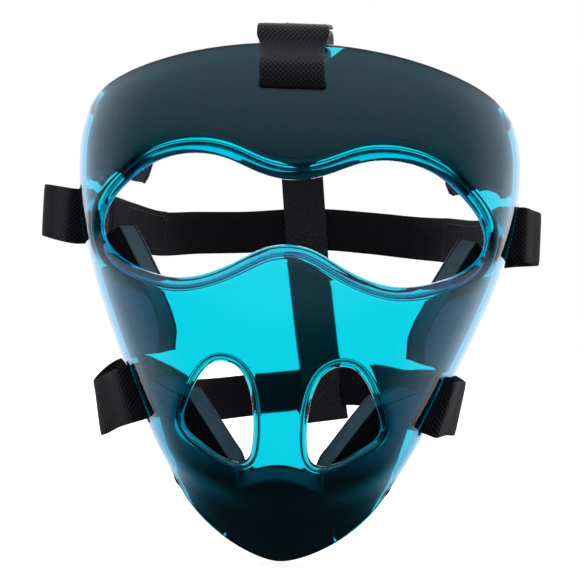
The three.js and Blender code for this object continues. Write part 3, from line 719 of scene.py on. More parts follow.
def waffle_webbing(colour):
    """Polyester webbing, woven in a waffle: staggered floats 2.1 by 1.9 mm apart, with painted highlight on their tops
    and painted shade in the wells between them.
    """
    material, tree = new_material("waffle_webbing")
    place, along, across = strap_map(tree)
    floats = maths(tree, "MULTIPLY", wave(tree, across, 2.1), wave(tree, along, 1.9))
    height = maths(tree, "ADD", floats, maths(tree, "MULTIPLY", noise(tree, place, 1.1, 3.0, 0.6), 0.45))
    # painted highlight on the float tops and painted shade in the wells, taken from the height of the weave
    thread = blended(tree, ranged(tree, height, -0.6, 1.15), toned(colour, 0.25), toned(colour, 2.6, 0.002))
    surface(tree, thread, 0.55, 0.3, (height, 0.9, 0.3 * MM))
    return material


def cut_foam(colour):
    """Closed cell polyethylene foam, knife cut: matt, with fine open cells, 0.4 mm but drawn at 0.9 mm to show."""
    material, tree = new_material("cut_foam")
    place = own_place(tree)
    cells = add_node(tree, "ShaderNodeTexVoronoi", {"Vector": place, "Scale": 1 / (0.9 * MM), "Randomness": 1.0})
    cloud = ranged(tree, noise(tree, place, 1 / (9 * MM), 4.0), 0.3, 0.7)
    tone = blended(tree, cloud, toned(colour, 0.8), toned(colour, 1.2))
    surface(tree, tone, 0.88, 0.2, (cells.outputs["Distance"], 0.6, 0.15 * MM))
    return material


def brushed_lining(colour):
    """Nylon loop fabric, knitted and brushed: a short nap that lightens where it is seen along the surface."""
    material, tree = new_material("brushed_lining")
    place = own_place(tree)
    nap = noise(tree, place, 1 / (1.1 * MM), 4.0, 0.7)
    wear = ranged(tree, noise(tree, place, 1 / (14 * MM), 3.0), 0.3, 0.7)
    tone = blended(tree, wear, toned(colour, 0.7), toned(colour, 1.6, 0.001))
    surface(tree, tone, 0.95, 0.05, (nap, 0.7, 0.2 * MM), Sheen_Weight=0.02, Sheen_Roughness=0.6)
    return material


def cloth_with_painted_haze(colour, haze_tone):
    """Dark nylon backing cloth under a pale painted haze, standing in for light scattered in the wall over the pads,
    streaked with hairlines 0.5 mm apart.
    """
    material, tree = new_material("cloth_with_painted_haze")
    slant = add_node(tree, "ShaderNodeMapping", {
        "Vector": own_map(tree), "Rotation": (0, 0, math.radians(35)), "Scale": (0.05, 1.2, 1)}).outputs[0]
    hairs = ranged(tree, noise(tree, slant, 1.6, 3.0, 0.6), 0.25, 0.75, 0.75, 1.25)
    # share of painted haze that each pad gives its backing: none near the openings, fading out toward the chin
    haze_share = add_node(tree, "ShaderNodeAttribute", attribute_name="haze_share").outputs["Fac"]
    streaks = blended(tree, 1.0, toned(haze_tone), hairs, blend_type="MULTIPLY")
    surface(tree, blended(tree, haze_share, toned(colour), streaks), 0.9, 0.05)
    return material


def cut_cloth_edge(colour):
    """Nylon fabric, sheared: loose ends of the threads show paler along the cut."""
    material, tree = new_material("cut_cloth_edge")
    fray = ranged(tree, noise(tree, own_place(tree), 1 / (0.9 * MM), 3.0), 0.35, 0.65)
    surface(tree, blended(tree, fray, toned(colour, 0.25), toned(colour)), 0.9, 0.1)
    return material


def moulded_hooks(colour):
    """Nylon hook tape, moulded: rows of small stiff hooks 1.2 mm apart, slightly glossy."""
    material, tree = new_material("moulded_hooks")
    _, along, across = strap_map(tree)
    hooks = maths(tree, "MULTIPLY", wave(tree, along, 1.2), wave(tree, across, 1.2))
    # painted highlight on the hook tops and painted shade between the rows, taken from the height of the hooks
    tone = blended(tree, ranged(tree, hooks, -0.5, 1.0), toned(colour, 0.5), toned(colour, 2.0))
    surface(tree, tone, 0.45, bump=(hooks, 1.0, 0.35 * MM), IOR=1.53)
    return material


def spun_thread(colour):
    """Polyester sewing thread, spun: soft gloss along the twist."""
    material, tree = new_material("spun_thread")
    twist = noise(tree, own_place(tree), 1 / (0.4 * MM), 2.0)
    surface(tree, toned(colour), 0.55, bump=(twist, 0.5, 0.08 * MM))
    return material


MADE = {}


def material_of(maker, *values):
    """One material for all the pieces that share it."""
    if maker not in MADE:
        MADE[maker] = maker(*values)
    return MADE[maker]


# ---------------------------------------------------------------- pads

PAD_GAP, SEAT_GAP, FOAM_GAP, PAD_PITCH = 0.3 * MM, 0.65 * MM, 0.05 * MM, 2 * MM
EDGE_SHARE, END_SHARE, EDGE_POWER = 0.25, 0.08, 6

# Inner and outer edges of the pads, as share down the shell and degrees from the middle
CHEEK_INNER_SHARES = (
    (0.378, 52.7), (0.396, 50.3), (0.46, 44.7), (0.494, 41.8), (0.516, 40.5), (0.55, 40.3), (0.587, 44))
CHEEK_OUTER_SHARES = ((0.378, 66), (0.42, 78), (0.45, 84), (0.60, 84), (0.63, 83))
CHEEK_SKEW = {-1: -2.4, 1: 2.4}  # the two cheek pads are not glued in quite the same place
JAW_INNER_SHARES = (
    (0.652, 35.5), (0.70, 29.5), (0.757, 22.5), (0.785, 18.6), (0.82, 19.6), (0.86, 25.6), (1.004, 37.2))
JAW_OUTER_SHARES = ((0.628, 50), (0.70, 54), (0.76, 58), (0.80, 63), (0.84, 67), (0.90, 71), (1.004, 74))
CHIN_HALF_SHARES = ((0.785, 18.4), (0.82, 19.4), (0.86, 25.4), (1.006, 37.05))
CHIN_ARCH_SHARE = 0.05
FOREHEAD_SIDE_SHARE, FOREHEAD_TOP_SHARE = 0.96, -0.004
EYE_MARGIN, FOREHEAD_LOW = 8.5 * MM, 5.5 * MM
NOTCH_SIDES, NOTCH_BOTTOM = (math.radians(7.65), math.radians(6.8)), 41.8 * MM
NOTCH_CORNER, NOTCH_CORNER_DROP, NOTCH_CUT = math.radians(4.6), 0.058, 0.003
EYE_UPPER = 13  # how many of EYE_SHARES lie above the corner of the eye
# Distance from an opening and length over which a pad climbs on its lip, and over which the painted haze on its backing
# sets in; the chin's pair gives the share down the shell and the length over which that haze fades out toward the chin
EYE_CLIMB, NOSE_CLIMB = (8 * MM, 4 * MM), (5.5 * MM, 2.5 * MM)
EYE_HAZE_FADE, NOSE_HAZE_FADE, CHIN_HAZE_FADE = (8 * MM, 3 * MM), (3 * MM, 3 * MM), (0.8, 0.08)
EYE_POINTS_ROUGH, NOSE_POINTS_ROUGH = 180, 90
FOREHEAD_GRID, SIDE_GRID, CHIN_GRID = (120, 22), (24, 32), (24, 22)
CHEEK_TILTS, JAW_TILT = (0.027, 0.037), -0.02
# Lobes of the forehead pad, right and left: distance from the middle and drop
LOBES, LOBE_HALF = ((74 * MM, 8.5 * MM), (77 * MM, 5.5 * MM)), 7 * MM


def table(pairs, down):
    """Value along a table of pairs, with its corners slightly eased."""
    x, y = np.array(pairs, float).T
    spread = 0.006
    return sum(np.interp(np.clip(down + k * spread, x[0], x[-1]), x, y) for k in (-1.5, -0.5, 0.5, 1.5)) / 4


def between(inner, outer, side, tilt, low_tilt=0.0, skew=0.0):
    """Place on a side pad: u runs from its inner edge outward and w down; its top and bottom edges fall by
    tilt and low_tilt on the way, and its inner edge lies skew degrees further out."""
    top, bottom = inner[0][0], inner[-1][0]

    def place(u, w):
        high = top + tilt * u
        down = high + (bottom + low_tilt * u - high) * w
        near = table(inner, down) + skew
        return side * np.radians(near + (table(outer, down) - near) * u), down
    return place


def chin_place(u, w):
    """Place on the chin pad, whose top edge is an arch."""
    across = 2 * u - 1
    top = CHIN_HALF_SHARES[0][0] + CHIN_ARCH_SHARE * across * across
    down = top + (CHIN_HALF_SHARES[-1][0] - top) * w
    return across * np.radians(table(CHIN_HALF_SHARES, down)), down


def forehead_low(x):
    """Height of the lower edge of the forehead pad: over the eye rim, with a lobe that hangs lower on each side."""
    half = np.array([(a * EYE_WIDTH / 2, EYE_TOP - f * EYE_HEIGHT) for a, f in EYE_SHARES[:EYE_UPPER]])
    rim_height = np.interp(np.abs(x), half[:, 0], half[:, 1])
    middle, drop = (np.where(x > 0, left, right) for right, left in zip(*LOBES))
    lobe = drop * ease(1 - np.abs(np.abs(x) - middle) / LOBE_HALF)
    return np.maximum(rim_height + EYE_MARGIN, FOREHEAD_LOW) - lobe


def forehead_place(u, w):
    """The notch for the webbing is cut along a few close columns, with its left corner cut off."""
    right, left = NOTCH_SIDES
    end, cut = FOREHEAD_SIDE_SHARE * QUARTER, NOTCH_CUT
    angle = np.interp(2 * u - 1, (-1, -0.2, -0.15, 0.15, 0.2, 0.3, 1),
                      (-end, -right - cut, cut - right, left - cut, left + cut, left + NOTCH_CORNER, end))
    low = down_where(angle, forehead_low)
    top = np.where((angle > -right) & (angle < left), down_at(0, NOTCH_BOTTOM), FOREHEAD_TOP_SHARE)
    top = np.where(angle > left, np.maximum(top, NOTCH_CORNER_DROP * (1 - (angle - left) / NOTCH_CORNER)), top)
    return angle, top + (low - top) * w


def clearance(points, loop):
    """Distance from the edge of an opening in the front view; less than 0 inside it."""
    flat = points[:, [0, 2]]
    near = np.full(len(flat), 1.0)
    for p in loop:
        near = np.minimum(near, ((flat - p) ** 2).sum(1))
    return np.sqrt(near) * np.where(in_polygon(flat, loop), -1, 1)


def clearances(points):
    """Distances from the edge of the eye opening and from those of the breathing openings."""
    loops = eye_outline(EYE_POINTS_ROUGH), *(nose_outline(side, NOSE_POINTS_ROUGH) for side, _ in SIDES)
    return [clearance(points, loop) for loop in loops]


def make_pad(tag, place, columns, rows, thick, body, shell, pads, drawn=(0, 0), hazed=False):
    """A pad as it is laid up: black backing to the shell, foam block, brushed lining to the face.
    drawn says which ends of its width are drawn in thin, and the last flag that its backing carries a pale painted
    haze, standing in for light scattered in the wall."""
    size_u, size_w = columns * PAD_PITCH, rows * PAD_PITCH

    def depth(u, w, linings, foams, gap):
        """Depth under the face of so many linings and foams; pads rise over the lips and thin at knife-cut edges."""
        eye, *noses = clearances(shell_point(*place(u, w)))
        rise = (shell.lip_depth - shell.wall) * ease((EYE_CLIMB[0] - eye) / EYE_CLIMB[1])
        for nose in noses:
            climb = ease((NOSE_CLIMB[0] - nose) / NOSE_CLIMB[1])
            rise = np.maximum(rise, (shell.nose_depth - shell.wall) * climb)
        side = np.maximum(np.maximum(drawn[0] * (1 - 2 * u), drawn[1] * (2 * u - 1)), 0)
        share = 1 - (1 - EDGE_SHARE) * side ** EDGE_POWER - END_SHARE * (2 * w - 1) ** EDGE_POWER
        return shell.wall + SEAT_GAP + rise + linings * pads.lining + foams * (2 * PAD_GAP + thick * share) + gap

    def haze_share(angle, down):
        """Where the painted haze shows: away from the openings, and fading out toward the chin."""
        eye, *noses = clearances(shell_point(angle, down))
        # held is the share of painted haze at each point
        held = ease((eye - EYE_HAZE_FADE[0]) / EYE_HAZE_FADE[1]) * ease((CHIN_HAZE_FADE[0] - down) / CHIN_HAZE_FADE[1])
        for nose in noses:
            held = held * ease((nose - NOSE_HAZE_FADE[0]) / NOSE_HAZE_FADE[1])
        return held

    def layer(kind, outer, inner, *, inset, bevel, slot, material, bulge=0):
        """One layer between an outer and an inner depth, its edges set in and rounded."""
        obj, u, w, side = slab(f"{tag}_pad_{kind}", columns, rows)
        uu = 0.5 + (u - 0.5) * (1 - 2 * inset / size_u)
        ww = 0.5 + (w - 0.5) * (1 - 2 * inset / size_w)
        angle, down = place(uu, ww)
        deep = np.where(side < 0.5, depth(u, w, *outer), depth(u, w, *inner))
        put(obj, under(angle, down, deep), np.stack([uu * size_u, ww * size_w], -1))
        settled(obj, body, slot, material, f"{tag}_{kind}")
        # the backing's face to the wall carries the share of painted haze
        if kind == "backing" and hazed:
            values = (haze_share(angle, down) * (side < 0.5)).astype(np.float32)
            obj.data.attributes.new("haze_share", "FLOAT", "POINT").data.foreach_set("value", values)
        if kind == "lining":
            obj.data.materials.append(material_of(cut_cloth_edge, pads.edge_colour))
            for face in obj.data.polygons:
                face.material_index = int(len({side[v] > 0.5 for v in face.vertices}) == 2)
        soften(obj, bevel, 3, bulge)
        return obj

    cloth = material_of(brushed_lining, pads.lining_colour)
    foam = material_of(cut_foam, pads.foam_colour)
    # cheek and jaw backings get the cloth with painted haze
    back = material_of(cloth_with_painted_haze, pads.lining_colour, pads.painted_haze_colour) if hazed else cloth
    layer("backing", (0, 0, 0), (1, 0, 0), inset=0.6 * MM, bevel=0.25 * MM, slot="lining", material=back)
    block = layer("foam", (1, 0, FOAM_GAP), (1, 1, -FOAM_GAP), inset=0.2 * MM, bevel=0.9 * MM, slot="foam",
                  material=foam, bulge=1)
    cover = layer("lining", (1, 1, 0), (2, 1, 0), inset=0.0, bevel=0.3 * MM, slot="lining", material=cloth)


# ---------------------------------------------------------------- straps

REAR_REACH = 145 * MM
TAB_LENGTH, HOOK_LENGTH, HOOK_MARGIN, LEG_STRAIGHT = 66 * MM, 50 * MM, 1.5 * MM, 5 * MM
SPINE_GAP, STRAP_GAP = 0.8 * MM, 0.3 * MM
BANDS = {
    "upper": {
        "half": 101 * MM, "start": 40 * MM, "slot": UPPER_SLOT_HEIGHT, "rear": -3.4 * MM, "tilt": 0.0,
        "bulge": {-1: 21 * MM, 1: 13.5 * MM}, "sag": {-1: -2 * MM, 1: 0.0},
        "rise": {-1: (4, 1.5, -3, -2.4, -0.4, 3.2), 1: (0, 0, 0, 0, 2, 3.2)}},
    "lower": {
        "half": 76 * MM, "start": 22 * MM, "slot": LOWER_SLOT_HEIGHT, "rear": -100.8 * MM, "tilt": SLOT_TILT,
        "bulge": {-1: 18 * MM, 1: 9.5 * MM}, "sag": {-1: 10 * MM, 1: 2 * MM},
        "rise": {-1: (0, -3.5, -6.5, -4, -0.8, 3), 1: (0, 0.5, 3, 7.5, 8, 3)}},
}
# Half of a band from beside the shell to the middle of the back, and the crown strap over the head
BAND_SHARES = ((1, 0), (0.93, 0.26), (0.82, 0.56), (0.64, 0.83), (0.37, 0.97), (0, 1))
CROWN_SHARES = (
    (0, 0), (0.09, 0.28), (0.22, 0.68), (0.36, 0.92), (0.50, 1), (0.66, 0.87), (0.83, 0.35), (0.93, -0.35), (0.985, -1))
CROWN_LEG_HEIGHT, CROWN_LEG_REACH, CROWN_TOP, CROWN_FALL = 77 * MM, 20 * MM, 93 * MM, 63 * MM
CROWN_LOOSE, CROWN_STAND, CROWN_FRONT, CROWN_TAB = 12 * MM, 8.8 * MM, 2 * MM, 56 * MM
CROWN_ASIDE, CROWN_SLOT_WIDTH, CROWN_FREE_WIDTH = (1.2 * MM, 1.6 * MM, 1.2 * MM), 27.2 * MM, 30.8 * MM
SPINE_END, SPINE_LEAN, SPINE_SWING = -115 * MM, 0.105, 0.07
FOLD_SHARE = 0.62  # of the webbing's stand over the top edge, left at its front
CROWN_RIM = shell_point(0, 0)
# Mesh of the straps, thread as half its width and height, and the sewn box's distance from the strap's edges
RIBBON_PITCH, TURN_PITCH, RIBBON_ROWS, RIBBON_BEVEL = 1.6 * MM, 1.2 * MM, 10, 0.4 * MM
THREAD, BOX_MARGIN, STITCH_MARGINS = (0.28 * MM, 0.26 * MM), 3.5 * MM, (2 * MM, 4 * MM, 1.6 * MM)
# Share of a strap's thickness lost at its woven edges, and left at an end that was cut hot
WOVEN_LOSS, WOVEN_POWER, MELT_SHARE, MELT_LENGTH = 0.3, 8, 0.62, 2.2 * MM
WANDER_WAVES, WANDER_ENDS, CUP_SHARE, CUP_FLAT = (31 * MM, 13 * MM, 47 * MM), 12 * MM, 0.7, 0.4
STITCH_SPACING = 1.25  # in stitches
# The crown webbing swings aside on its way to the slot, spreads over the top edge and bunches in the slot
SLOT_SWING, FOLD_SWING, SPREAD, BUNCH = 26 * MM, 18 * MM, (22 * MM, 12 * MM), (2 * MM, 16 * MM, 5 * MM)
SPINE_PLUMB, SPINE_BEND, LEAN_START, LEAN_SHARE = -7 * MM, -20 * MM, 0.45, 0.5
ASIDE_END, ASIDE_LENGTH = 45 * MM, 60 * MM
UP, ACROSS = np.array([0, 0, 1.0]), np.array([1.0, 0, 0])


def at(*parts):
    return np.array(parts, float)


def hook_step(straps):
    """From the middle of a strap to the middle of the hook tape that lies on it."""
    return straps.thick / 2 + STRAP_GAP + straps.hook / 2


def band_side(side, level):
    band = BANDS[level]
    return [at(side * a * band["half"], band["start"] + (REAR_REACH - band["start"]) * b,
               band["slot"] + (band["rear"] - band["slot"]) * ease(b) + rise * MM)
            for (a, b), rise in zip(BAND_SHARES, band["rise"][side])]


def turn_line(side, level, straps):
    """The turn of elastic from the end of its outer leg round the outside, in through the slot and back."""
    band, slot, thick = BANDS[level], SLOTS[level][side], straps.thick
    half = band_side(side, level)
    back = unit(half[1] - half[0])
    inward = unit(np.cross(back, UP))
    inward = -inward if inward[0] * side > 0 else inward
    outer_end = half[0] - back * STRAP_GAP
    inner_end = outer_end + inward * 2 * hook_step(straps)
    middle, out = slot["middle"], slot["out"]
    mouth, inner_mouth = middle + out * WALL, middle - out * WALL
    rim_x, rim_y, _ = shell_point(side * QUARTER, down_at(side * QUARTER, band["slot"]))
    outer, inside = abs(rim_x) + band["bulge"][side], abs(inner_mouth[0])
    z = band["slot"] + band["rise"][side][0] * MM / 2
    fold = z - band["sag"][side]
    return spline([
        outer_end,
        outer_end - back * LEG_STRAIGHT,
        at(side * (band["half"] + outer) / 2, (band["start"] + rim_y) / 2, z),
        at(side * outer, rim_y, fold),
        at(side * ((outer + abs(mouth[0])) / 2 + thick), (rim_y + mouth[1]) / 2 - thick, (fold + mouth[2]) / 2),
        mouth + out * WALL,
        mouth,
        inner_mouth,
        inner_mouth - out * WALL / 2,
        at(side * (inside - WALL), inner_mouth[1] + 2 * WALL, inner_mouth[2]),
        at(side * ((inside - WALL + abs(inner_end[0])) / 2 - thick), (inner_mouth[1] + band["start"]) / 2 - WALL,
           (z + inner_mouth[2]) / 2),
        inner_end - back * LEG_STRAIGHT,
        inner_end,
    ])


def crown_turn_line(straps):
    """The webbing from the end of its outer leg over the top edge, in through the slot and back up."""
    clear, step = straps.thick / 2 + 2 * STRAP_GAP, hook_step(straps)
    middle, out = CROWN_SLOT["middle"], CROWN_SLOT["out"]
    (_, top_y, top_z), inner_y = CROWN_RIM, under(0, 0, WALL)[1]
    rise = unit(at(0, -(REAR_REACH - straps.thick - SPINE_GAP + CROWN_LEG_REACH) * CROWN_SHARES[1][0],
                   -(CROWN_TOP - CROWN_LEG_HEIGHT) * CROWN_SHARES[1][1]))
    end = at(0, -CROWN_LEG_REACH - STRAP_GAP, CROWN_LEG_HEIGHT)
    outer_end = end + at(0, rise[2], -rise[1]) * 2 * step
    line = spline([
        outer_end,
        outer_end + rise * LEG_STRAIGHT,
        at(0, top_y + CROWN_LOOSE, top_z + CROWN_STAND),
        at(0, top_y - CROWN_FRONT, top_z + CROWN_STAND * FOLD_SHARE),
        at(0, top_y - CROWN_FRONT - 2 * clear, top_z - WALL),
        middle + out * (WALL + 2 * clear) + UP * 2 * WALL,
        middle + out * WALL,
        middle - out * WALL,
        middle - out * (WALL + 2 * clear) + UP * 2 * WALL,
        at(0, inner_y + 2 * clear, top_z - WALL),
        at(0, inner_y + CROWN_LOOSE, top_z + CROWN_STAND - 3 * step),
        end + rise * LEG_STRAIGHT,
        end,
    ])
    end_aside, fold_aside, slot_back = CROWN_ASIDE
    line[:, 0] = (slot_back * ease((top_z - line[:, 2]) / SLOT_SWING) - end_aside
                  - fold_aside * ease((outer_end[1] - line[:, 1]) / FOLD_SWING))
    return line


def crown_turn_width(line, width):
    """Width at each point of the turn: spread where it folds over the top edge, bunched in the slot."""
    in_front = CROWN_RIM[1] - line[:, 1]
    free = width + (CROWN_FREE_WIDTH - width) * ease((in_front + SPREAD[0]) / SPREAD[1])
    below = CROWN_RIM[2] - line[:, 2]
    held = ease((below + BUNCH[0]) / BUNCH[2]) * ease((in_front + BUNCH[1]) / BUNCH[2])
    return free + (CROWN_SLOT_WIDTH - free) * held


def spine_aside(z):
    """How far the spine hangs to the wearer's left at a height, more so below the upper band."""
    return SPINE_LEAN * (SPINE_PLUMB - z) + SPINE_SWING * np.maximum(SPINE_BEND - z, 0)


def crown_line(straps):
    """The long strap from the crown turn over the head and down the back."""
    start, back = -CROWN_LEG_REACH, REAR_REACH - straps.thick - SPINE_GAP
    up, fall = CROWN_TOP - CROWN_LEG_HEIGHT, CROWN_LEG_HEIGHT - (CROWN_TOP - CROWN_FALL)
    points = [at(0, start + (back - start) * reach, CROWN_LEG_HEIGHT + (up if rise >= 0 else fall) * rise)
              for reach, rise in CROWN_SHARES]
    line = spline(points + [at(0, back, 0), at(0, back, SPINE_END / 2), at(0, back, SPINE_END)])
    line[:, 0] += spine_aside(line[:, 2]) * ease((line[:, 1] / back - LEAN_START) / LEAN_SHARE)
    line[:, 0] -= CROWN_ASIDE[0] * ease((ASIDE_END - line[:, 1]) / ASIDE_LENGTH)
    return line


def moved_aside(line, wide, distance, toward):
    """The same line moved off its flat side, toward the side that toward points to."""
    flat = unit(np.cross(np.gradient(line, axis=0), wide))
    return line + flat * np.sign(dot(flat, toward))[:, None] * distance


def ribbon(name, line, wide, width, thick, pitch=RIBBON_PITCH, melt=(False, False), wander=0.0, seed=0):
    """A strap along a line: closed, slightly thinner at its woven edges, its map in millimetres along and across.
    wide is the way across it and width how wide it is, one for all of it or one for each point. melt says which
    ends were cut hot, and so are a little thinner and rounded; wander is how far it strays from a straight lie."""
    along = run_along(line)
    length = along[-1]
    columns = max(int(length / pitch), 4)
    path = evenly(line, columns)
    widths = evenly(wide, columns) if np.ndim(wide) > 1 else np.broadcast_to(wide, path.shape)
    tangent = unit(np.gradient(path, axis=0))
    widths = unit(widths - tangent * dot(widths, tangent)[:, None])
    flat = np.cross(tangent, widths)
    obj, u, w, layer = slab(name, columns, RIBBON_ROWS)
    i, run = np.round(u * columns).astype(int), u * length
    if np.ndim(width):
        width = np.interp(run, along, width)
    edge = np.abs(2 * w - 1)
    full = thick * (1 - WOVEN_LOSS * edge ** WOVEN_POWER)
    for cut, hot in ((run, melt[0]), (length - run, melt[1])):
        if hot:
            full = full * (MELT_SHARE + (1 - MELT_SHARE) * ease(cut / MELT_LENGTH))
    phase = np.random.default_rng(seed).uniform(0, 6.28, 4)
    free = wander * ease(np.minimum(run, length - run) / WANDER_ENDS)
    long, short, cupping = (np.sin(run / wave + start) for wave, start in zip(WANDER_WAVES, phase))
    sway = free * (long + short / 2)
    cup = free * CUP_SHARE * (edge ** 2 - CUP_FLAT) * cupping
    points = (path[i] + widths[i] * ((w - 0.5) * width + sway / 2)[:, None]
              + flat[i] * ((layer - 0.5) * full + cup)[:, None])
    put(obj, points, np.stack([run, w * width], -1))
    soften(obj, RIBBON_BEVEL, 2)
    return obj


def sewn_end(names, line, length, wide, toward, straps, body, slot, woven, nodes):
    """The end of a strap laid back on it along the first length of a line, and the hook patch between the two."""
    step, width = hook_step(straps), straps.width
    end = moved_aside(evenly(line, 60, 0, length), wide, 2 * step, toward)
    end = ribbon(names[0], end, wide, width, straps.thick, melt=(False, True))
    settled(end, body, slot, woven, nodes[0])
    patch = moved_aside(evenly(line, 50, length - HOOK_LENGTH, length - HOOK_MARGIN), wide, step, toward)
    patch = ribbon(names[1], patch, wide, width - 2 * HOOK_MARGIN, straps.hook)
    settled(patch, body, "hook_tape", material_of(moulded_hooks, straps.webbing_colour), nodes[1])


def stitch_rows(name, rows, straps):
    """Rows of thread stitches: each row is a line of points on the surface and the way out of it."""
    bpy.ops.object.select_all(action="DESELECT")
    bpy.ops.mesh.primitive_uv_sphere_add(segments=8, ring_count=6, radius=1)
    bead = bpy.context.object
    co = np.empty(len(bead.data.vertices) * 3)
    bead.data.vertices.foreach_get("co", co)
    co = co.reshape(-1, 3)
    faces = [tuple(p.vertices) for p in bead.data.polygons]
    bpy.data.objects.remove(bead, do_unlink=True)
    points, polygons = [], []
    for line, out in rows:
        count = max(int(run_along(line)[-1] / (straps.stitch * STITCH_SPACING)), 1)
        tangents = unit(np.diff(evenly(line, count), axis=0))
        for spot, tangent in zip(evenly(line, count * 2)[1::2], tangents):
            normal = unit(out - tangent * dot(out, tangent))
            side = np.cross(normal, tangent)
            start = len(points) * len(co)
            points.append(spot + co[:, :1] * tangent * straps.stitch / 2 + co[:, 1:2] * side * THREAD[0]
                          + co[:, 2:] * normal * THREAD[1])
            polygons += [tuple(start + i for i in face) for face in faces]
    obj = new_object(name, np.concatenate(points), polygons)
    obj.data.shade_smooth()
    return obj


def patch_rows(line, length, wide, toward, straps):
    """A row of stitches all round the hook patch at the end of a strap."""
    lift = 2 * hook_step(straps) + straps.thick / 2
    first, last, edge = STITCH_MARGINS
    line = moved_aside(evenly(line, 40, length - HOOK_LENGTH + first, length - last), wide, lift, toward)
    out = unit(moved_aside(line, wide, 1 * MM, toward)[20] - line[20])
    reach = wide * (straps.width / 2 - HOOK_MARGIN - edge)
    ends = [np.linspace(line[k] - reach, line[k] + reach, 12) for k in (0, -1)]
    return [(row, out) for row in (line + reach, line - reach, *ends)]


# ---------------------------------------------------------------- stage

# What the camera looks at; the floor's radius, its gap under the chin, its grey and how far it glows
TARGET = Vector((0.46, -35, -43.3)) * MM
FLOOR_RADIUS, FLOOR_GAP, FLOOR_GREY, FLOOR_GLOW = 6, 0.4 * MM, 0.42, 0.8


def ramp(tree, value, low, high, top=1.0):
    """Rises smoothly from 0 at low to top at high."""
    return ranged(tree, value, low, high, top=top, interpolation_type="SMOOTHSTEP")


def make_floor():
    """A pale floor just under the chin; it keeps the shadow and is as white as the surround."""
    bpy.ops.object.select_all(action="DESELECT")
    bpy.ops.mesh.primitive_circle_add(
        vertices=96, radius=FLOOR_RADIUS, fill_type="NGON", location=(0, 0, CAD_BOX[0][2] - FLOOR_GAP))
    floor = bpy.context.object
    floor.name = floor.data.name = "floor"
    # painted board, matt; mirrored light passes it, as the table ends in front of the camera
    material, tree = new_material("painted_board")
    light = add_node(tree, "ShaderNodeLightPath").outputs
    seen = maths(tree, "MAXIMUM", light["Is Camera Ray"], light["Is Transmission Ray"])
    matt = add_node(tree, "ShaderNodeBsdfDiffuse", {"Color": toned((1, 1, 1), FLOOR_GREY)})
    ahead = add_node(tree, "ShaderNodeSeparateXYZ", {0: own_place(tree)}).outputs[1]
    in_front = maths(tree, "SUBTRACT", 1.0, ramp(tree, ahead, 0.05, 0.3))
    passed = maths(tree, "MULTIPLY", light["Is Transmission Ray"], in_front)
    glow = add_node(tree, "ShaderNodeEmission", {
        "Color": (1, 1, 1, 1), "Strength": maths(tree, "MULTIPLY", seen, FLOOR_GLOW)})
    both = add_node(tree, "ShaderNodeAddShader", {0: matt.outputs[0], 1: glow.outputs[0]})
    clear = add_node(tree, "ShaderNodeBsdfTransparent")
    mixed = add_node(tree, "ShaderNodeMixShader", {
        0: maths(tree, "MAXIMUM", light["Is Glossy Ray"], passed), 1: both.outputs[0], 2: clear.outputs[0]})
    add_node(tree, "ShaderNodeOutputMaterial", {"Surface": mixed.outputs[0]})
    floor.data.materials.append(material)


def make_surround(scene):
    """White behind the object for whoever looks at it or through it; soft light panels at both sides and behind,
    a bright one overhead, and a dim room in front."""
    world = bpy.data.worlds.new("surround")
    scene.world = world
    world.use_nodes = True
    tree = world.node_tree
    tree.nodes.clear()
    light = add_node(tree, "ShaderNodeLightPath").outputs
    seen = maths(tree, "MAXIMUM", light["Is Camera Ray"], light["Is Transmission Ray"])
    way = add_node(tree, "ShaderNodeTexCoord").outputs["Generated"]
    x, y, z = add_node(tree, "ShaderNodeSeparateXYZ", {0: way}).outputs
    aside = maths(tree, "ABSOLUTE", x)
    # what is seen through the wall: white behind, at the sides and above, and nearly dark in front and below
    lit = maths(tree, "ADD", ramp(tree, y, 0.3, 0.8), ramp(tree, aside, 0.5, 0.95, 0.7),
                ramp(tree, z, -0.3, 0.6, 0.9), 0.1)
    lit = maths(tree, "MAXIMUM", maths(tree, "MINIMUM", lit, 1.0), light["Is Camera Ray"])
    # what lights the object and is mirrored in it; the overhead light shows in no mirror
    panels = maths(tree, "MULTIPLY", ramp(tree, aside, 0.4, 0.97), ramp(tree, y, -0.65, 0.45))
    panels = maths(tree, "ADD", panels, ramp(tree, y, 0.25, 0.97, 1.8))
    panels = maths(tree, "MULTIPLY", ramp(tree, z, -0.75, -0.15), panels)
    unmirrored = maths(tree, "SUBTRACT", 1.0, light["Is Glossy Ray"])
    overhead = maths(tree, "MULTIPLY", ramp(tree, z, 0.4, 0.98, 3.0), unmirrored)
    total = maths(tree, "ADD", panels, overhead, ramp(tree, z, 0.0, 0.65, 0.58), 0.02)
    colour = blended(tree, seen, (0.93, 0.93, 1, 1), (1, 1, 1, 1))
    power = add_node(tree, "ShaderNodeMix", {0: seen, 2: total, 3: lit})
    back = add_node(tree, "ShaderNodeBackground", {"Color": colour, "Strength": power.outputs[0]})
    add_node(tree, "ShaderNodeOutputWorld", {"Surface": back.outputs[0]})


# ---------------------------------------------------------------- operators

class FaceGuardMakeShell(bpy.types.Operator):
    """Makes the clear moulded shell with its lip, openings and slots"""
    bl_idname = "face_guard.make_shell"
    bl_label = "Clear shell"

    def execute(self, context):
        shell = context.scene.face_guard_shell
        obj = moulded_shell(shell)
        settled(obj, "mask", "clear_shell", moulded_polycarbonate(shell.tint, shell.wall), "shell")
        return {"FINISHED"}


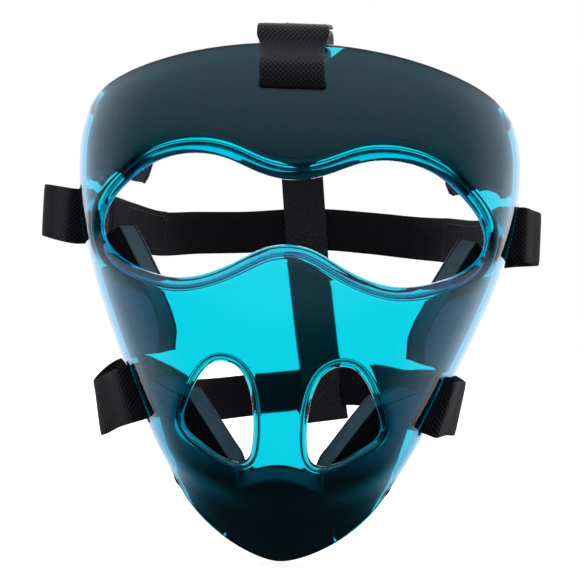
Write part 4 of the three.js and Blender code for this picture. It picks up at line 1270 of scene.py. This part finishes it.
class FaceGuardMakePads(bpy.types.Operator):
    """Makes the forehead, cheek, jaw and chin pads"""
    bl_idname = "face_guard.make_pads"
    bl_label = "Foam pads"

    def execute(self, context):
        shell, pads = context.scene.face_guard_shell, context.scene.face_guard_pads
        make_pad("forehead", forehead_place, *FOREHEAD_GRID, pads.forehead_foam, "mask", shell, pads, (1, 1))
        for side, tag in SIDES:
            cheek = between(CHEEK_INNER_SHARES, CHEEK_OUTER_SHARES, side, *CHEEK_TILTS, CHEEK_SKEW[side])
            jaw = between(JAW_INNER_SHARES, JAW_OUTER_SHARES, side, JAW_TILT)
            for name, place in ((f"cheek_{tag}", cheek), (f"jaw_{tag}", jaw)):
                # True: these backings carry the painted haze
                make_pad(name, place, *SIDE_GRID, pads.foam, "mask", shell, pads, (0, 1), True)
        make_pad("chin", chin_place, *CHIN_GRID, pads.foam, "mask", shell, pads)
        return {"FINISHED"}


class FaceGuardMakeCrown(bpy.types.Operator):
    """Makes the webbing turn at the crown, the strap over the head and its sewn end"""
    bl_idname = "face_guard.make_crown"
    bl_label = "Crown webbing"

    def execute(self, context):
        straps = context.scene.face_guard_straps
        webbing = material_of(waffle_webbing, straps.webbing_colour)
        width, thick = straps.width, straps.thick
        turned, line = crown_turn_line(straps), crown_line(straps)
        turn = ribbon("crown_webbing_turn", turned, ACROSS, crown_turn_width(turned, width), thick, TURN_PITCH)
        settled(turn, "mask", "webbing", webbing, "crown_turn")
        strap = ribbon("crown_webbing", line, ACROSS, width, thick, melt=(False, True), wander=0.5 * MM, seed=3)
        settled(strap, None, "webbing", webbing, "crown_strap")
        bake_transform(strap)
        sewn_end(("crown_webbing_end", "crown_hook_patch"), line, CROWN_TAB, ACROSS, UP, straps,
                 "crown_end", "webbing", webbing, ("crown_tab", "crown_hook"))
        return {"FINISHED"}


class FaceGuardMakeBands(bpy.types.Operator):
    """Makes the two elastic bands round the back, the turns through the side slots and the sewn ends"""
    bl_idname = "face_guard.make_bands"
    bl_label = "Elastic bands"

    def execute(self, context):
        straps = context.scene.face_guard_straps
        elastic = material_of(twill_elastic, straps.elastic_colour)
        width, thick = straps.width, straps.thick
        for level, band in BANDS.items():
            right, left = band_side(-1, level), band_side(1, level)
            whole = spline(right + left[::-1][1:])
            strap = ribbon(f"{level}_elastic_band", whole, UP, width, thick, wander=0.4 * MM, seed=len(level) + 7)
            settled(strap, None, "elastic", elastic, f"{level}_band")
            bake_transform(strap)
            for side, tag in SIDES:
                line, slot_y = turn_line(side, level, straps), SLOTS[level][side]["middle"][1]
                tilt = band["tilt"] * np.clip((band["start"] - line[:, 1]) / (band["start"] - slot_y), 0, 1)
                wide = np.stack([side * np.sin(tilt), 0 * tilt, np.cos(tilt)], -1)
                turn = ribbon(f"{level}_elastic_turn_{tag}", line, wide, width, thick, TURN_PITCH)
                settled(turn, "mask", "elastic", elastic, f"{level}_turn_{tag}")
                sewn_end((f"{level}_elastic_end_{tag}", f"{level}_hook_patch_{tag}"), spline(band_side(side, level)),
                         TAB_LENGTH, UP, at(-side, 0, 0), straps, f"{level}_end_{tag}", "elastic", elastic,
                         (f"{level}_tab_{tag}", f"{level}_hook_{tag}"))
        return {"FINISHED"}


class FaceGuardMakeStitching(bpy.types.Operator):
    """Sews the hook patches to the strap ends and the spine to the bands"""
    bl_idname = "face_guard.make_stitching"
    bl_label = "Stitching"

    def execute(self, context):
        straps = context.scene.face_guard_straps
        thread = material_of(spun_thread, linear("#26242a"))
        for level in BANDS:
            for side, tag in SIDES:
                rows = patch_rows(spline(band_side(side, level)), TAB_LENGTH, UP, at(-side, 0, 0), straps)
                sewn = stitch_rows(f"{level}_patch_stitches_{tag}", rows, straps)
                settled(sewn, f"{level}_end_{tag}", "elastic", thread)
        rows = patch_rows(crown_line(straps), CROWN_TAB, ACROSS, UP, straps)
        sewn = stitch_rows("crown_patch_stitches", rows, straps)
        settled(sewn, "crown_end", "webbing", thread)
        # a sewn box with both its diagonals where the spine crosses each band
        rows = []
        y, reach = REAR_REACH - straps.thick * 1.5 - SPINE_GAP, straps.width / 2 - BOX_MARGIN
        for band in BANDS.values():
            middle = band["rear"] + band["rise"][1][-1] * MM
            corners = [at(spine_aside(middle + b * reach) + a * reach, y, middle + b * reach)
                       for a, b in ((-1, -1), (1, -1), (1, 1), (-1, 1))]
            for first, last, count in ((0, 1, 12), (1, 2, 12), (2, 3, 12), (3, 0, 12), (0, 2, 16), (1, 3, 16)):
                rows.append((np.linspace(corners[first], corners[last], count), at(0, -1, 0)))
        sewn = stitch_rows("spine_box_stitches", rows, straps)
        settled(sewn, "harness", "webbing", thread)
        return {"FINISHED"}


class FaceGuardMakeStage(bpy.types.Operator):
    """Sets the camera, the soft lights, the pale floor and the white surround"""
    bl_idname = "face_guard.make_stage"
    bl_label = "Stage"

    def execute(self, context):
        scene, studio = context.scene, context.scene.face_guard_studio
        back = Vector((math.sin(studio.turn) * math.cos(studio.rise), -math.cos(studio.turn) * math.cos(studio.rise),
                       math.sin(studio.rise)))
        right = (-back).cross(Vector((0, 0, 1))).normalized()
        up = right.cross(-back)
        c, s = math.cos(studio.roll), math.sin(studio.roll)
        lens = bpy.data.cameras.new("camera")
        lens.lens, lens.sensor_width, lens.clip_start = studio.lens, 36, 0.01
        camera = bpy.data.objects.new("camera", lens)
        camera.matrix_world = Matrix.Translation(TARGET + back * studio.distance) @ Matrix(
            (right * c + up * s, up * c - right * s, back)).transposed().to_4x4()
        scene.collection.objects.link(camera)
        scene.camera = camera
        make_floor()
        make_surround(scene)
        scene.view_settings.view_transform = "Standard"
        return {"FINISHED"}


class FaceGuardPanel(bpy.types.Panel):
    """The face guard's pieces, sizes and colours"""
    bl_idname = "VIEW3D_PT_face_guard"
    bl_label = "Face guard"
    bl_space_type = "VIEW_3D"
    bl_region_type = "UI"
    bl_category = "Face guard"

    def draw(self, context):
        for name, (_, kinds) in GROUPS.items():
            box = self.layout.box()
            values = getattr(context.scene, name)
            for key in values.__annotations__:
                box.prop(values, key)
            for kind in kinds:
                box.operator(kind.bl_idname)


GROUPS = {
    "face_guard_shell": (FaceGuardShell, (FaceGuardMakeShell,)),
    "face_guard_pads": (FaceGuardPads, (FaceGuardMakePads,)),
    "face_guard_straps": (FaceGuardStraps, (FaceGuardMakeCrown, FaceGuardMakeBands, FaceGuardMakeStitching)),
    "face_guard_studio": (FaceGuardStudio, (FaceGuardMakeStage,)),
}
CLASSES = (
    *(group for group, _ in GROUPS.values()), FaceGuardMakeShell, FaceGuardMakePads, FaceGuardMakeCrown,
    FaceGuardMakeBands, FaceGuardMakeStitching, FaceGuardMakeStage, FaceGuardPanel,
)


def register():
    for kind in CLASSES:
        bpy.utils.register_class(kind)
    for name, (group, _) in GROUPS.items():
        setattr(bpy.types.Scene, name, PointerProperty(type=group))


def unregister():
    for name in GROUPS:
        delattr(bpy.types.Scene, name)
    for kind in reversed(CLASSES):
        bpy.utils.unregister_class(kind)


def main():
    register()
    bpy.ops.face_guard.make_stage()
    bpy.ops.face_guard.make_shell()
    bpy.ops.face_guard.make_pads()
    bpy.ops.face_guard.make_crown()
    bpy.ops.face_guard.make_bands()
    bpy.ops.face_guard.make_stitching()


if __name__ == "__main__":
    main()
